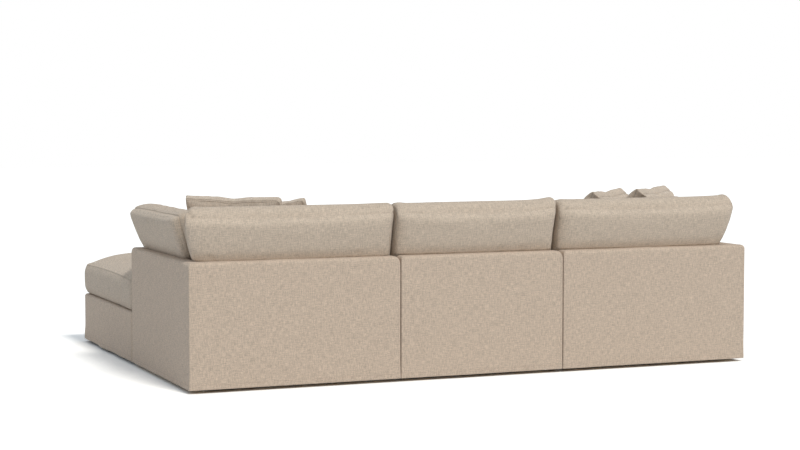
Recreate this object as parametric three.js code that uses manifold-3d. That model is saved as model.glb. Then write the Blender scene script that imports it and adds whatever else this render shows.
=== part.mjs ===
// A sectional sofa with a chaise: two corner seats, an armless middle seat and an ottoman that
// stands in front of the left corner seat. Each seat is a timber base and padded walls under
// fabric covers, with loose seat, back and side cushions and scatter pillows on top.
// Millimetres. +Z is up, the sofa faces -Y, and +X is the left hand of a person sitting on it.
import * as THREE from "three";
import { mergeVertices } from "three/addons/utils/BufferGeometryUtils.js";
import Module from "manifold-3d";

const wasm = await Module();
wasm.setup();

// Modules
const CORNER_WIDTH = 1100;
const MIDDLE_WIDTH = 910;
const SEAT_DEPTH = 1100;
const OTTOMAN_WIDTH = 1100;
const OTTOMAN_DEPTH = 1115;
const MODULE_GAP = 0.6;

// Heights above the floor
const GLIDE_HEIGHT = 20;
const BASE_TOP = 285;
const WALL_TOP = 635;

// Padded walls and covers
const WALL_THICKNESS = 85;
const COVER_THICKNESS = 12;
const EDGE_RADIUS = 22;
const EDGE_STEPS = 4;

// Clearances
const FIT = 0.3;
const OVERRUN = 10;

// Timber base frame
const RAIL_WIDTH = 36;
const CROSS_RAILS = 3;
const CORNER_BLOCK_SIDE = 95;
const CORNER_BLOCK_HEIGHT = 60;

// Timber wall frame
const WALL_RAIL_HEIGHT = 60;
const WALL_POST_WIDTH = 60;
const WALL_POSTS = 3;

// Suspension and underside
const WEBBING_WIDTH = 60;
const WEBBING_THICKNESS = 3;
const WEBBING_STRAPS = 4;
const DECK_PAD_THICKNESS = 22;
const DUST_CLOTH_THICKNESS = 1.5;

// Glides
const GLIDE_RADIUS = 25;
const GLIDE_FOOT_RADIUS = 22;
const GLIDE_EDGE_HEIGHT = 4;
const GLIDE_STEM_RADIUS = 5;
const GLIDE_STEM_LENGTH = 30;
const GLIDE_SIDES = 10;

// Steel plates that join the seats
const PLATE_LENGTH = 180;
const PLATE_WIDTH = 60;
const PLATE_THICKNESS = 3;
const PLATE_SCREW_RADIUS = 7;
const PLATE_SCREW_HEAD = 3;
const PLATE_SCREW_INSET = 22;
const PLATE_SCREW_SIDES = 10;

// Seat cushions
const SEAT_BOXING = 170;
const SEAT_CROWN = 66;
const OTTOMAN_CROWN = 80;
const SEAT_CROWN_POWER = 6;
const SEAT_BULGE = 7;
const SEAT_DRAW_IN = 5;
const CUSHION_GAP = 1;

// Back and side cushions, which lean on the walls. topTilt is how far their top face slopes.
const BACK_CUSHION = {
  lean: THREE.MathUtils.degToRad(15),
  topTilt: THREE.MathUtils.degToRad(15),
  topSeam: 852,
  boxing: 150,
  frontCrown: 32,
  rearCrown: 28,
};
const SIDE_CUSHION = {
  lean: THREE.MathUtils.degToRad(20),
  topTilt: THREE.MathUtils.degToRad(2),
  topSeam: 856,
  boxing: 130,
  frontCrown: 30,
  rearCrown: 34,
};
const LEANING_TOP_CROWN = 12;
const LEANING_END_BULGE = 9;
const LEANING_DRAW_IN = 8;
const CORNER_DROP_POWER = 12;
const SPILL_LIFT = 4;
const SPILL_POWER = 3;
const SIDE_FRONT_INSET = 20;

// How far each back cushion has slid towards the chaise, where it is over the wall's top
const BACK_SLIDE = 18;

// The arm ends of the two outer back cushions: how far each spills over its arm, low down and at
// the top, how much it narrows towards its front, and how far its top corner hangs
const LEFT_ARM_END = { spillLow: 52, spillHigh: 90, taper: 40, drop: 6 };
const RIGHT_ARM_END = { spillLow: 2, spillHigh: 36, taper: 0, drop: 8 };

// How far the rear end of a side cushion is tucked in behind the front of the back cushion
const SIDE_TUCK = 25;
const SIDE_FRONT_DROP = 16;

// Scatter pillows
const PILLOW_WIDTH = 520;
const PILLOW_GUSSET = 44;
const PILLOW_CROWN = 46;
const PILLOW_DRAW_IN = 16;
const PILLOW_CHOP = 9;
const PILLOW_CHOP_WIDTH = 90;
const PILLOW_LEAN = THREE.MathUtils.degToRad(25);
const PILLOW_SEAT_GAP = 0.8;

// Where the middle of each pillow's top rear edge lies: out from its arm's outer face, forward
// from the rear face, and above the floor; and how far it is turned to face along the arm.
const PILLOWS = {
  left_pillow_rear: { side: 1, fromArm: 372, fromRear: 512, top: 908, turn: 43 },
  left_pillow_front: { side: 1, fromArm: 530, fromRear: 585, top: 890, turn: 43 },
  right_pillow_rear: { side: -1, fromArm: 372, fromRear: 386, top: 918, turn: 38 },
  right_pillow_front: { side: -1, fromArm: 640, fromRear: 368, top: 908, turn: 38 },
};

// How many faces a cushion has along each way
const SEAT_GRID = [10, 10, 2];
const LEANING_ACROSS = 10;
const LEANING_THROUGH = 3;
const LEANING_LOW_ROWS = 2;
const LEANING_HIGH_ROWS = 5;
const PILLOW_GRID = [10, 2, 8];
const FOOT_STEPS = 6;

// Places that follow from the sizes
const REAR = (SEAT_DEPTH + MODULE_GAP + OTTOMAN_DEPTH) / 2;
const FRONT_OF_SEATS = REAR - SEAT_DEPTH;
const CORNER_CENTRE = MIDDLE_WIDTH / 2 + MODULE_GAP + CORNER_WIDTH / 2;
const DUST_CLOTH_TOP = GLIDE_HEIGHT + DUST_CLOTH_THICKNESS;
const FRAME_BOTTOM = DUST_CLOTH_TOP + FIT;
const DECK_PAD_TOP = BASE_TOP - COVER_THICKNESS - FIT;
const WEBBING_TOP = DECK_PAD_TOP - DECK_PAD_THICKNESS - FIT;
const FRAME_TOP = WEBBING_TOP - WEBBING_THICKNESS - FIT;
const SEAT_BOTTOM = BASE_TOP + FIT;
const SEAT_SEAM = SEAT_BOTTOM + SEAT_BOXING;
const LEANING_BOTTOM = SEAT_SEAM + FIT;
const SPILL_LEVEL = WALL_TOP + FIT;

// How far in from a wall's outer face the rear seams of a leaning cushion lie. They touch the
// rounded edge of the wall's top.
function rearSeamAt({ lean }, z) {
  const touch = (EDGE_RADIUS + FIT - EDGE_RADIUS * Math.sin(lean)) / Math.cos(lean);
  return WALL_THICKNESS - EDGE_RADIUS + touch - (z - WALL_TOP) * Math.tan(lean);
}

const frontCrownAt = (cushion, z) =>
  rearSeamAt(cushion, z) + (cushion.boxing + cushion.frontCrown) / Math.cos(cushion.lean);
const coveredStrip = (cushion) => frontCrownAt(cushion, LEANING_BOTTOM) + CUSHION_GAP;

const FABRIC = new THREE.MeshStandardMaterial({ color: 0xbeae9e, roughness: 0.95, metalness: 0 });
const CUSHION_FABRIC = new THREE.MeshStandardMaterial({ color: 0xc4b4a3, roughness: 0.95, metalness: 0 });
const PILLOW_FABRIC = new THREE.MeshStandardMaterial({ color: 0xb9a998, roughness: 0.95, metalness: 0 });
const TIMBER = new THREE.MeshStandardMaterial({ color: 0xc9a876, roughness: 0.7, metalness: 0 });
const WEBBING = new THREE.MeshStandardMaterial({ color: 0x8a7350, roughness: 0.9, metalness: 0 });
const DECK_CLOTH = new THREE.MeshStandardMaterial({ color: 0xd8d0c2, roughness: 0.9, metalness: 0 });
const DUST_CLOTH = new THREE.MeshStandardMaterial({ color: 0x2c2b2a, roughness: 0.9, metalness: 0 });
const GLIDE_PLASTIC = new THREE.MeshStandardMaterial({ color: 0x1d1c1b, roughness: 0.45, metalness: 0 });
const PLATE_STEEL = new THREE.MeshStandardMaterial({ color: 0x9a9a98, roughness: 0.4, metalness: 1 });

// Solids
function solidOf(geometry) {
  const bare = geometry.clone();
  bare.deleteAttribute("normal");
  bare.deleteAttribute("uv");
  const merged = mergeVertices(bare);
  return new wasm.Manifold(
    new wasm.Mesh({
      numProp: 3,
      vertProperties: new Float32Array(merged.attributes.position.array),
      triVerts: new Uint32Array(merged.index.array),
    }),
  );
}

function geometryOf(solid) {
  const mesh = solid.getMesh();
  const geometry = new THREE.BufferGeometry();
  geometry.setAttribute("position", new THREE.BufferAttribute(mesh.vertProperties, mesh.numProp));
  geometry.setIndex(new THREE.BufferAttribute(mesh.triVerts, 1));
  return geometry;
}

const joined = (geometries) => geometries.map(solidOf).reduce((all, next) => all.add(next));
const cutBy = (solid, geometries) =>
  geometries.map(solidOf).reduce((left, cut) => left.subtract(cut), solid);

// A block between two corners
function block([x0, y0, z0], [x1, y1, z1]) {
  const box = new THREE.BoxGeometry(x1 - x0, y1 - y0, z1 - z0);
  return box.translate((x0 + x1) / 2, (y0 + y1) / 2, (z0 + z1) / 2);
}

function peg(radius, x, y, z0, z1, sides) {
  const cylinder = new THREE.CylinderGeometry(radius, radius, z1 - z0, sides);
  return cylinder.rotateX(Math.PI / 2).translate(x, y, (z0 + z1) / 2);
}

// An upright outline from the floor gap to the wall's top, with its top corners rounded or square
function walledOutline(low, high, roundLow, roundHigh) {
  const outline = new THREE.Shape();
  outline.moveTo(low, GLIDE_HEIGHT);
  outline.lineTo(high, GLIDE_HEIGHT);
  if (roundHigh) outline.absarc(high - EDGE_RADIUS, WALL_TOP - EDGE_RADIUS, EDGE_RADIUS, 0, Math.PI / 2);
  else outline.lineTo(high, WALL_TOP);
  if (roundLow)
    outline.absarc(low + EDGE_RADIUS, WALL_TOP - EDGE_RADIUS, EDGE_RADIUS, Math.PI / 2, Math.PI);
  else outline.lineTo(low, WALL_TOP);
  return outline;
}

const X_AXIS = new THREE.Vector3(1, 0, 0);
const Y_AXIS = new THREE.Vector3(0, 1, 0);
const Z_AXIS = new THREE.Vector3(0, 0, 1);

// An outline in y and z swept along x
function sweptAlongX(outline, from, to) {
  const swept = new THREE.ExtrudeGeometry(outline, {
    depth: to - from,
    bevelEnabled: false,
    curveSegments: EDGE_STEPS,
  });
  return swept
    .applyMatrix4(new THREE.Matrix4().makeBasis(Y_AXIS, Z_AXIS, X_AXIS))
    .translate(from, 0, 0);
}

// An outline in x and z swept along y
function sweptAlongY(outline, from, to) {
  const swept = new THREE.ExtrudeGeometry(outline, {
    depth: to - from,
    bevelEnabled: false,
    curveSegments: EDGE_STEPS,
  });
  return swept
    .applyMatrix4(new THREE.Matrix4().makeBasis(X_AXIS, Z_AXIS, Y_AXIS.clone().negate()))
    .translate(0, to, 0);
}

// A plan outline raised from one height to another
function raised(points, z0, z1) {
  const outline = new THREE.Shape(points.map(([x, y]) => new THREE.Vector2(x, y)));
  return new THREE.ExtrudeGeometry(outline, { depth: z1 - z0, bevelEnabled: false }).translate(0, 0, z0);
}

function named(name, geometry, material) {
  const mesh = new THREE.Mesh(geometry, material);
  mesh.name = name;
  return mesh;
}

// Walls. A seat's own frame has x = 0 at its middle and y = 0 at its rear face. arm is 1 for an
// arm at +x, -1 for an arm at -x and 0 for none.
function backCover(width, arm) {
  const half = width / 2;
  const mitre = FIT / 2;
  const outer = arm || 1;
  const seamEnd = -outer * half;
  const plan = arm
    ? [
        [seamEnd, 0],
        [outer * (half - mitre), 0],
        [outer * (half - WALL_THICKNESS - mitre), -WALL_THICKNESS],
        [seamEnd, -WALL_THICKNESS],
      ]
    : [
        [-half, 0],
        [half, 0],
        [half, -WALL_THICKNESS],
        [-half, -WALL_THICKNESS],
      ];
  const through = walledOutline(-WALL_THICKNESS, 0, true, true);
  const along = walledOutline(-half, half, arm !== -1, arm !== 1);
  const outside = solidOf(raised(plan, GLIDE_HEIGHT, WALL_TOP))
    .intersect(solidOf(sweptAlongX(through, -half - OVERRUN, half + OVERRUN)))
    .intersect(solidOf(sweptAlongY(along, -WALL_THICKNESS - OVERRUN, OVERRUN)));
  const hollow = block(
    [-half + COVER_THICKNESS, -WALL_THICKNESS + COVER_THICKNESS, GLIDE_HEIGHT - OVERRUN],
    [half - COVER_THICKNESS, -COVER_THICKNESS, WALL_TOP - COVER_THICKNESS],
  );
  return geometryOf(cutBy(outside, [hollow]));
}

function armCover(width, arm) {
  const half = width / 2;
  const mitre = FIT / 2;
  const outerX = arm * half;
  const innerX = arm * (half - WALL_THICKNESS);
  const plan = [
    [outerX, -mitre],
    [outerX, -SEAT_DEPTH],
    [innerX, -SEAT_DEPTH],
    [innerX, -WALL_THICKNESS - mitre],
  ];
  const low = Math.min(outerX, innerX);
  const high = Math.max(outerX, innerX);
  const through = walledOutline(low, high, true, true);
  const along = walledOutline(-SEAT_DEPTH, 0, true, false);
  const outside = solidOf(raised(plan, GLIDE_HEIGHT, WALL_TOP))
    .intersect(solidOf(sweptAlongY(through, -SEAT_DEPTH - OVERRUN, OVERRUN)))
    .intersect(solidOf(sweptAlongX(along, low - OVERRUN, high + OVERRUN)));
  const hollow = block(
    [low + COVER_THICKNESS, -SEAT_DEPTH + COVER_THICKNESS, GLIDE_HEIGHT - OVERRUN],
    [high - COVER_THICKNESS, -COVER_THICKNESS, WALL_TOP - COVER_THICKNESS],
  );
  return geometryOf(cutBy(outside, [hollow]));
}

// Rails and posts of one wall between two corners of its plan
function wallTimbers([x0, y0], [x1, y1]) {
  const bottom = FRAME_BOTTOM;
  const top = WALL_TOP - COVER_THICKNESS - FIT;
  const timbers = [
    block([x0, y0, bottom], [x1, y1, bottom + WALL_RAIL_HEIGHT]),
    block([x0, y0, top - WALL_RAIL_HEIGHT], [x1, y1, top]),
  ];
  const alongX = x1 - x0 > y1 - y0;
  const run = (alongX ? x1 - x0 : y1 - y0) - WALL_POST_WIDTH;
  for (let i = 0; i < WALL_POSTS; i++) {
    const start = (alongX ? x0 : y0) + (run * i) / (WALL_POSTS - 1);
    const end = start + WALL_POST_WIDTH;
    timbers.push(
      alongX ? block([start, y0, bottom], [end, y1, top]) : block([x0, start, bottom], [x1, end, top]),
    );
  }
  return timbers;
}

function wallFrame(width, arm) {
  const inset = COVER_THICKNESS + FIT;
  const half = width / 2 - inset;
  const rear = -inset;
  const front = -WALL_THICKNESS + inset;
  const timbers = wallTimbers([-half, front], [half, rear]);
  if (arm) {
    const outerX = arm * half;
    const innerX = arm * (half - (rear - front));
    const low = [Math.min(outerX, innerX), -SEAT_DEPTH + inset];
    const high = [Math.max(outerX, innerX), rear];
    timbers.push(...wallTimbers(low, high));
  }
  return geometryOf(joined(timbers));
}

// Bases. low and high are the plan corners that the cover's outer faces reach.
function baseCover([x0, y0], [x1, y1]) {
  const inside = block(
    [x0 + COVER_THICKNESS, y0 + COVER_THICKNESS, GLIDE_HEIGHT - OVERRUN],
    [x1 - COVER_THICKNESS, y1 - COVER_THICKNESS, BASE_TOP - COVER_THICKNESS],
  );
  return geometryOf(cutBy(solidOf(block([x0, y0, GLIDE_HEIGHT], [x1, y1, BASE_TOP])), [inside]));
}

// The four glides stand at the middles of the frame's corner blocks
function glidePlaces([x0, y0], [x1, y1]) {
  const inset = COVER_THICKNESS + FIT + RAIL_WIDTH / 2 + CORNER_BLOCK_SIDE / 2;
  return [
    [x0 + inset, y0 + inset],
    [x1 - inset, y0 + inset],
    [x0 + inset, y1 - inset],
    [x1 - inset, y1 - inset],
  ];
}

const stemHoles = (places, z0, z1) =>
  places.map(([x, y]) => peg(GLIDE_STEM_RADIUS + FIT, x, y, z0, z1, GLIDE_SIDES));

function baseFrame(low, high) {
  const inset = COVER_THICKNESS + FIT;
  const [x0, y0, x1, y1] = [low[0] + inset, low[1] + inset, high[0] - inset, high[1] - inset];
  const timbers = [
    block([x0, y0, FRAME_BOTTOM], [x1, y0 + RAIL_WIDTH, FRAME_TOP]),
    block([x0, y1 - RAIL_WIDTH, FRAME_BOTTOM], [x1, y1, FRAME_TOP]),
  ];
  const spans = CROSS_RAILS + 1;
  for (let i = 0; i <= spans; i++) {
    const start = x0 + ((x1 - x0 - RAIL_WIDTH) * i) / spans;
    timbers.push(block([start, y0, FRAME_BOTTOM], [start + RAIL_WIDTH, y1, FRAME_TOP]));
  }
  const places = glidePlaces(low, high);
  for (const [x, y] of places) {
    const half = CORNER_BLOCK_SIDE / 2;
    const top = FRAME_BOTTOM + CORNER_BLOCK_HEIGHT;
    timbers.push(block([x - half, y - half, FRAME_BOTTOM], [x + half, y + half, top]));
  }
  const holeTop = GLIDE_HEIGHT + GLIDE_STEM_LENGTH + FIT;
  return geometryOf(cutBy(joined(timbers), stemHoles(places, FRAME_BOTTOM - OVERRUN, holeTop)));
}

// Straps that cross: those along x are a little thinner, as where a strap is pulled between others
function webbing(low, high) {
  const inset = COVER_THICKNESS + FIT;
  const [x0, y0, x1, y1] = [low[0] + inset, low[1] + inset, high[0] - inset, high[1] - inset];
  const bottom = WEBBING_TOP - WEBBING_THICKNESS;
  const half = WEBBING_WIDTH / 2;
  const straps = [];
  for (let i = 0; i < WEBBING_STRAPS; i++) {
    const share = (i + 1) / (WEBBING_STRAPS + 1);
    const x = x0 + (x1 - x0) * share;
    const y = y0 + (y1 - y0) * share;
    straps.push(block([x - half, y0, bottom], [x + half, y1, WEBBING_TOP]));
    straps.push(block([x0, y - half, bottom + FIT], [x1, y + half, WEBBING_TOP - FIT]));
  }
  return geometryOf(joined(straps));
}

function deckPad(low, high) {
  const inset = COVER_THICKNESS + FIT;
  return block(
    [low[0] + inset, low[1] + inset, DECK_PAD_TOP - DECK_PAD_THICKNESS],
    [high[0] - inset, high[1] - inset, DECK_PAD_TOP],
  );
}

function dustCloth(low, high) {
  const inset = COVER_THICKNESS + FIT;
  const sheet = block(
    [low[0] + inset, low[1] + inset, GLIDE_HEIGHT],
    [high[0] - inset, high[1] - inset, DUST_CLOTH_TOP],
  );
  const holes = stemHoles(glidePlaces(low, high), GLIDE_HEIGHT - OVERRUN, DUST_CLOTH_TOP + OVERRUN);
  return geometryOf(cutBy(solidOf(sheet), holes));
}

// A moulded foot with a stem that is driven into the corner block
function glide() {
  const shoulder = GLIDE_HEIGHT - FIT;
  const profile = [
    [0, 0],
    [GLIDE_FOOT_RADIUS, 0],
    [GLIDE_RADIUS, GLIDE_EDGE_HEIGHT],
    [GLIDE_RADIUS, shoulder],
    [GLIDE_STEM_RADIUS, shoulder],
    [GLIDE_STEM_RADIUS, shoulder + GLIDE_STEM_LENGTH],
    [0, shoulder + GLIDE_STEM_LENGTH],
  ].map(([r, z]) => new THREE.Vector2(r, z));
  return new THREE.LatheGeometry(profile, GLIDE_SIDES).rotateX(Math.PI / 2);
}

function baseMeshes(name, low, high) {
  const meshes = [
    named(`${name}_base_frame`, baseFrame(low, high), TIMBER),
    named(`${name}_webbing`, webbing(low, high), WEBBING),
    named(`${name}_deck_pad`, deckPad(low, high), DECK_CLOTH),
    named(`${name}_base_cover`, baseCover(low, high), FABRIC),
    named(`${name}_dust_cloth`, dustCloth(low, high), DUST_CLOTH),
  ];
  glidePlaces(low, high).forEach(([x, y], i) => {
    const foot = named(`${name}_glide_${i + 1}`, glide(), GLIDE_PLASTIC);
    foot.position.set(x, y, 0);
    meshes.push(foot);
  });
  return meshes;
}

// Cushions. A box of quads, whose points run from -1 to 1 each way, is bent by place.
function bentBox([across, through, up], place) {
  const box = new THREE.BoxGeometry(1, 1, 1, across, through, up);
  box.deleteAttribute("normal");
  box.deleteAttribute("uv");
  const bent = mergeVertices(box);
  const points = bent.attributes.position;
  for (let i = 0; i < points.count; i++) {
    const [x, y, z] = place(2 * points.getX(i), 2 * points.getY(i), 2 * points.getZ(i));
    points.setXYZ(i, x, y, z);
  }
  return facedOut(bent);
}

// Turns the faces round where a left-handed placing has turned them inwards
function facedOut(geometry) {
  const index = geometry.index.array;
  const points = geometry.attributes.position;
  const [a, b, c] = [new THREE.Vector3(), new THREE.Vector3(), new THREE.Vector3()];
  let volume = 0;
  for (let i = 0; i < index.length; i += 3) {
    a.fromBufferAttribute(points, index[i]);
    b.fromBufferAttribute(points, index[i + 1]);
    c.fromBufferAttribute(points, index[i + 2]);
    volume += a.dot(b.cross(c));
  }
  if (volume < 0)
    for (let i = 0; i < index.length; i += 3) [index[i + 1], index[i + 2]] = [index[i + 2], index[i + 1]];
  return geometry;
}

// Points that crowd towards the edges, from -1 to 1
const crowded = (t) => Math.sin((t * Math.PI) / 2);
// 1 in the middle and 0 at both edges
const hump = (t, power = 2) => 1 - Math.abs(t) ** power;

// The free part of a seat, which the crown fills: the leaning cushions press the rest flat.
function freeSeat([x0, y0], [x1, y1], crown, { rear = 0, left = 0, right = 0 }) {
  return { x0: x0 + left, x1: x1 - right, y0, y1: y1 - rear, crown };
}

function crownHeight(free, x, y) {
  const across = (2 * x - free.x0 - free.x1) / (free.x1 - free.x0);
  const along = (2 * y - free.y0 - free.y1) / (free.y1 - free.y0);
  if (Math.abs(across) >= 1 || Math.abs(along) >= 1) return 0;
  return free.crown * hump(across, SEAT_CROWN_POWER) * hump(along, SEAT_CROWN_POWER);
}

// One way across a seat: the pressed strips are one face wide and the free part has the others
function seatLine(t, count, low, high, freeLow, freeHigh) {
  const lowFaces = freeLow > low ? 1 : 0;
  const highFaces = freeHigh < high ? 1 : 0;
  const step = Math.round(((t + 1) / 2) * count);
  if (step < lowFaces) return low;
  if (step > count - highFaces) return high;
  const share = (step - lowFaces) / (count - lowFaces - highFaces);
  return THREE.MathUtils.lerp(freeLow, freeHigh, (crowded(2 * share - 1) + 1) / 2);
}

function seatCushion(low, high, free) {
  const [x0, y0] = low.map((v) => v + CUSHION_GAP);
  const [x1, y1] = high.map((v) => v - CUSHION_GAP);
  const [middleX, middleY] = [(x0 + x1) / 2, (y0 + y1) / 2];
  const edge = SEAT_BULGE + SEAT_DRAW_IN;
  return bentBox(SEAT_GRID, (a, b, c) => {
    const x = seatLine(a, SEAT_GRID[0], x0, x1, Math.max(free.x0, x0), Math.min(free.x1, x1));
    const y = seatLine(b, SEAT_GRID[1], y0, y1, Math.max(free.y0, y0), Math.min(free.y1, y1));
    const across = (x - middleX) / (x1 - middleX);
    const along = (y - middleY) / (y1 - middleY);
    const drawX = edge - SEAT_BULGE * hump(c) - SEAT_DRAW_IN * Math.abs(along) ** 2;
    const drawY = edge - SEAT_BULGE * hump(c) - SEAT_DRAW_IN * Math.abs(across) ** 2;
    const lift = crownHeight(free, x, y);
    const top = SEAT_SEAM + lift;
    return [
      x - across * drawX,
      y - along * drawY,
      THREE.MathUtils.lerp(SEAT_BOTTOM, top, (c + 1) / 2),
    ];
  });
}

// A cushion that leans on a wall, as points (along, inward, z): along the wall, inward from its
// outer face, and up. start and end give its two ends by height, by rise above the wall, which is
// 0 to 1, or null below the wall's top, and by the way through it, 0 to 1 from its rear to its
// front. drops are how far its two top corners hang.
function leaningCushion(cushion, start, end, drops, place) {
  const { lean, topTilt, topSeam, boxing } = cushion;
  const rows = LEANING_LOW_ROWS + 1 + LEANING_HIGH_ROWS;
  const topStep = 1 / Math.cos(lean - topTilt);
  return bentBox([LEANING_ACROSS, LEANING_THROUGH, rows], (a, b, c) => {
    const row = Math.round(((c + 1) / 2) * rows);
    const isHigh = row > LEANING_LOW_ROWS;
    const rise = isHigh ? crowded((row - LEANING_LOW_ROWS - 1) / LEANING_HIGH_ROWS) : 0;
    const forward = (1 - b) / 2;
    const depth = forward * boxing;
    const lowZ = THREE.MathUtils.lerp(LEANING_BOTTOM, SPILL_LEVEL, Math.min(1, row / LEANING_LOW_ROWS));
    const baseZ = isHigh ? SPILL_LEVEL + SPILL_LIFT : lowZ;
    const baseIn = rearSeamAt(cushion, baseZ) + depth / Math.cos(lean);
    const topIn = rearSeamAt(cushion, topSeam) + depth * Math.cos(topTilt) * topStep;
    const topZ = topSeam + depth * Math.sin(topTilt) * topStep;
    const seamIn = THREE.MathUtils.lerp(baseIn, topIn, rise);
    const seamZ = THREE.MathUtils.lerp(baseZ, topZ, rise);
    const up = (2 * (seamZ - LEANING_BOTTOM)) / (topZ - LEANING_BOTTOM) - 1;
    const across = crowded(a);
    const frontCrown = cushion.frontCrown * hump(across) * hump(up);
    const rearCrown = isHigh ? cushion.rearCrown * hump(across, 4) * hump(2 * rise - 1) : 0;
    const bow = forward * frontCrown - (1 - forward) * rearCrown;
    const topBow = rise === 1 ? LEANING_TOP_CROWN * hump(across) * hump(b) : 0;
    const drop = rise * drops[across < 0 ? 0 : 1] * Math.abs(across) ** CORNER_DROP_POWER;
    const from = start(seamZ, isHigh ? rise : null, forward);
    const to = end(seamZ, isHigh ? rise : null, forward);
    const drawn = LEANING_END_BULGE * (1 - hump(b)) + LEANING_DRAW_IN * hump(up) * Math.abs(b);
    return place(
      (from + to + across * (to - from - 2 * drawn)) / 2,
      seamIn + bow * Math.cos(lean) - topBow * Math.sin(topTilt),
      seamZ - drop + bow * Math.sin(lean) + topBow * Math.cos(topTilt),
    );
  });
}

// How far the end of a back cushion spills over the arm, by its rise above it
function spillOver({ spillLow, spillHigh }, rise) {
  if (rise === null) return 0;
  return THREE.MathUtils.lerp(spillLow, spillHigh, 1 - (1 - rise) ** SPILL_POWER);
}

function backCushion(width, arm) {
  const seam = width / 2 - CUSHION_GAP;
  const inArm = width / 2 - WALL_THICKNESS - CUSHION_GAP;
  const armEnd = arm === 1 ? LEFT_ARM_END : RIGHT_ARM_END;
  const atArm = (rise, forward) => inArm + spillOver(armEnd, rise) - armEnd.taper * forward;
  const slide = (rise) => (rise === null ? 0 : BACK_SLIDE);
  return leaningCushion(
    BACK_CUSHION,
    (z, rise, forward) => (arm === -1 ? -atArm(rise, forward) : BACK_SLIDE - seam),
    (z, rise, forward) => (arm === 1 ? atArm(rise, forward) : slide(rise) + seam),
    [arm === -1 ? armEnd.drop : 0, arm === 1 ? armEnd.drop : 0],
    (along, inward, z) => [along, -inward, z],
  );
}

// Its rear end lies along the back cushion's leaning front
function sideCushion(width, arm) {
  return leaningCushion(
    SIDE_CUSHION,
    (z, rise, forward) => frontCrownAt(BACK_CUSHION, z) + CUSHION_GAP - SIDE_TUCK * (1 - forward),
    () => SEAT_DEPTH - SIDE_FRONT_INSET,
    [0, SIDE_FRONT_DROP],
    (along, inward, z) => [arm * (width / 2 - inward), -along, z],
  );
}

// A square pillow with a narrow gusset. It leans back, its top is dented in the middle, and its
// foot settles on the crown of the seat.
function pillow({ side, fromArm, fromRear, top, turn }, width, free) {
  const [leanSin, leanCos] = [Math.sin(PILLOW_LEAN), Math.cos(PILLOW_LEAN)];
  const facing = THREE.MathUtils.degToRad(turn);
  const forward = [Math.sin(facing), Math.cos(facing)];
  const centreX = side * (width / 2 - fromArm);
  const placed = (along, depth, down) => {
    const inward = depth * leanCos + down * leanSin;
    return [
      centreX - side * (inward * forward[0] - along * forward[1]),
      -(fromRear + inward * forward[1] + along * forward[0]),
      top + depth * leanSin - down * leanCos,
    ];
  };
  // How far down the leaning pillow meets the seat, found by stepping towards it
  const footAt = (along, depth) => {
    let down = PILLOW_WIDTH;
    for (let i = 0; i < FOOT_STEPS; i++) {
      const [x, y, z] = placed(along, depth, down);
      down += (z - SEAT_SEAM - crownHeight(free, x, y) - PILLOW_SEAT_GAP) / leanCos;
    }
    return down;
  };
  return bentBox(PILLOW_GRID, (a, b, c) => {
    const [across, up] = [crowded(a), crowded(c)];
    const front = (1 - b) / 2;
    const crown = PILLOW_CROWN * hump(across) * hump(up) * (2 * front - 1);
    const along = across * (PILLOW_WIDTH / 2 - PILLOW_DRAW_IN * hump(up));
    const dent = PILLOW_CHOP * Math.exp(-((along / PILLOW_CHOP_WIDTH) ** 2));
    const sunk = Math.max(0, up) * (dent + PILLOW_DRAW_IN * hump(across));
    const down = ((1 - up) / 2) * footAt(along, front * PILLOW_GUSSET) + sunk;
    return placed(along, front * PILLOW_GUSSET + crown, down);
  });
}

// One seat, with its walls, base and cushions, in its own frame
function seat(name, width, arm) {
  const group = new THREE.Group();
  const half = width / 2;
  const innerWall = WALL_THICKNESS + FIT;
  const low = [arm === -1 ? -half + innerWall : -half, -SEAT_DEPTH];
  const high = [arm === 1 ? half - innerWall : half, -innerWall];
  const free = freeSeat([-half, -SEAT_DEPTH], [half, 0], SEAT_CROWN, {
    rear: coveredStrip(BACK_CUSHION),
    left: arm === -1 ? coveredStrip(SIDE_CUSHION) : 0,
    right: arm === 1 ? coveredStrip(SIDE_CUSHION) : 0,
  });
  group.add(...baseMeshes(name, low, high));
  group.add(named(`${name}_wall_frame`, wallFrame(width, arm), TIMBER));
  group.add(named(`${name}_back_cover`, backCover(width, arm), FABRIC));
  group.add(named(`${name}_seat_cushion`, seatCushion(low, high, free), CUSHION_FABRIC));
  group.add(named(`${name}_back_cushion`, backCushion(width, arm), CUSHION_FABRIC));
  if (arm) {
    group.add(named(`${name}_arm_cover`, armCover(width, arm), FABRIC));
    group.add(named(`${name}_side_cushion`, sideCushion(width, arm), CUSHION_FABRIC));
    for (const [pillowName, spec] of Object.entries(PILLOWS))
      if (spec.side === arm) group.add(named(pillowName, pillow(spec, width, free), PILLOW_FABRIC));
  }
  return group;
}

function ottoman() {
  const group = new THREE.Group();
  const low = [-OTTOMAN_WIDTH / 2, -OTTOMAN_DEPTH / 2];
  const high = [OTTOMAN_WIDTH / 2, OTTOMAN_DEPTH / 2];
  group.add(...baseMeshes("ottoman", low, high));
  const cushion = seatCushion(low, high, freeSeat(low, high, OTTOMAN_CROWN, {}));
  group.add(named("ottoman_cushion", cushion, CUSHION_FABRIC));
  return group;
}

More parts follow.
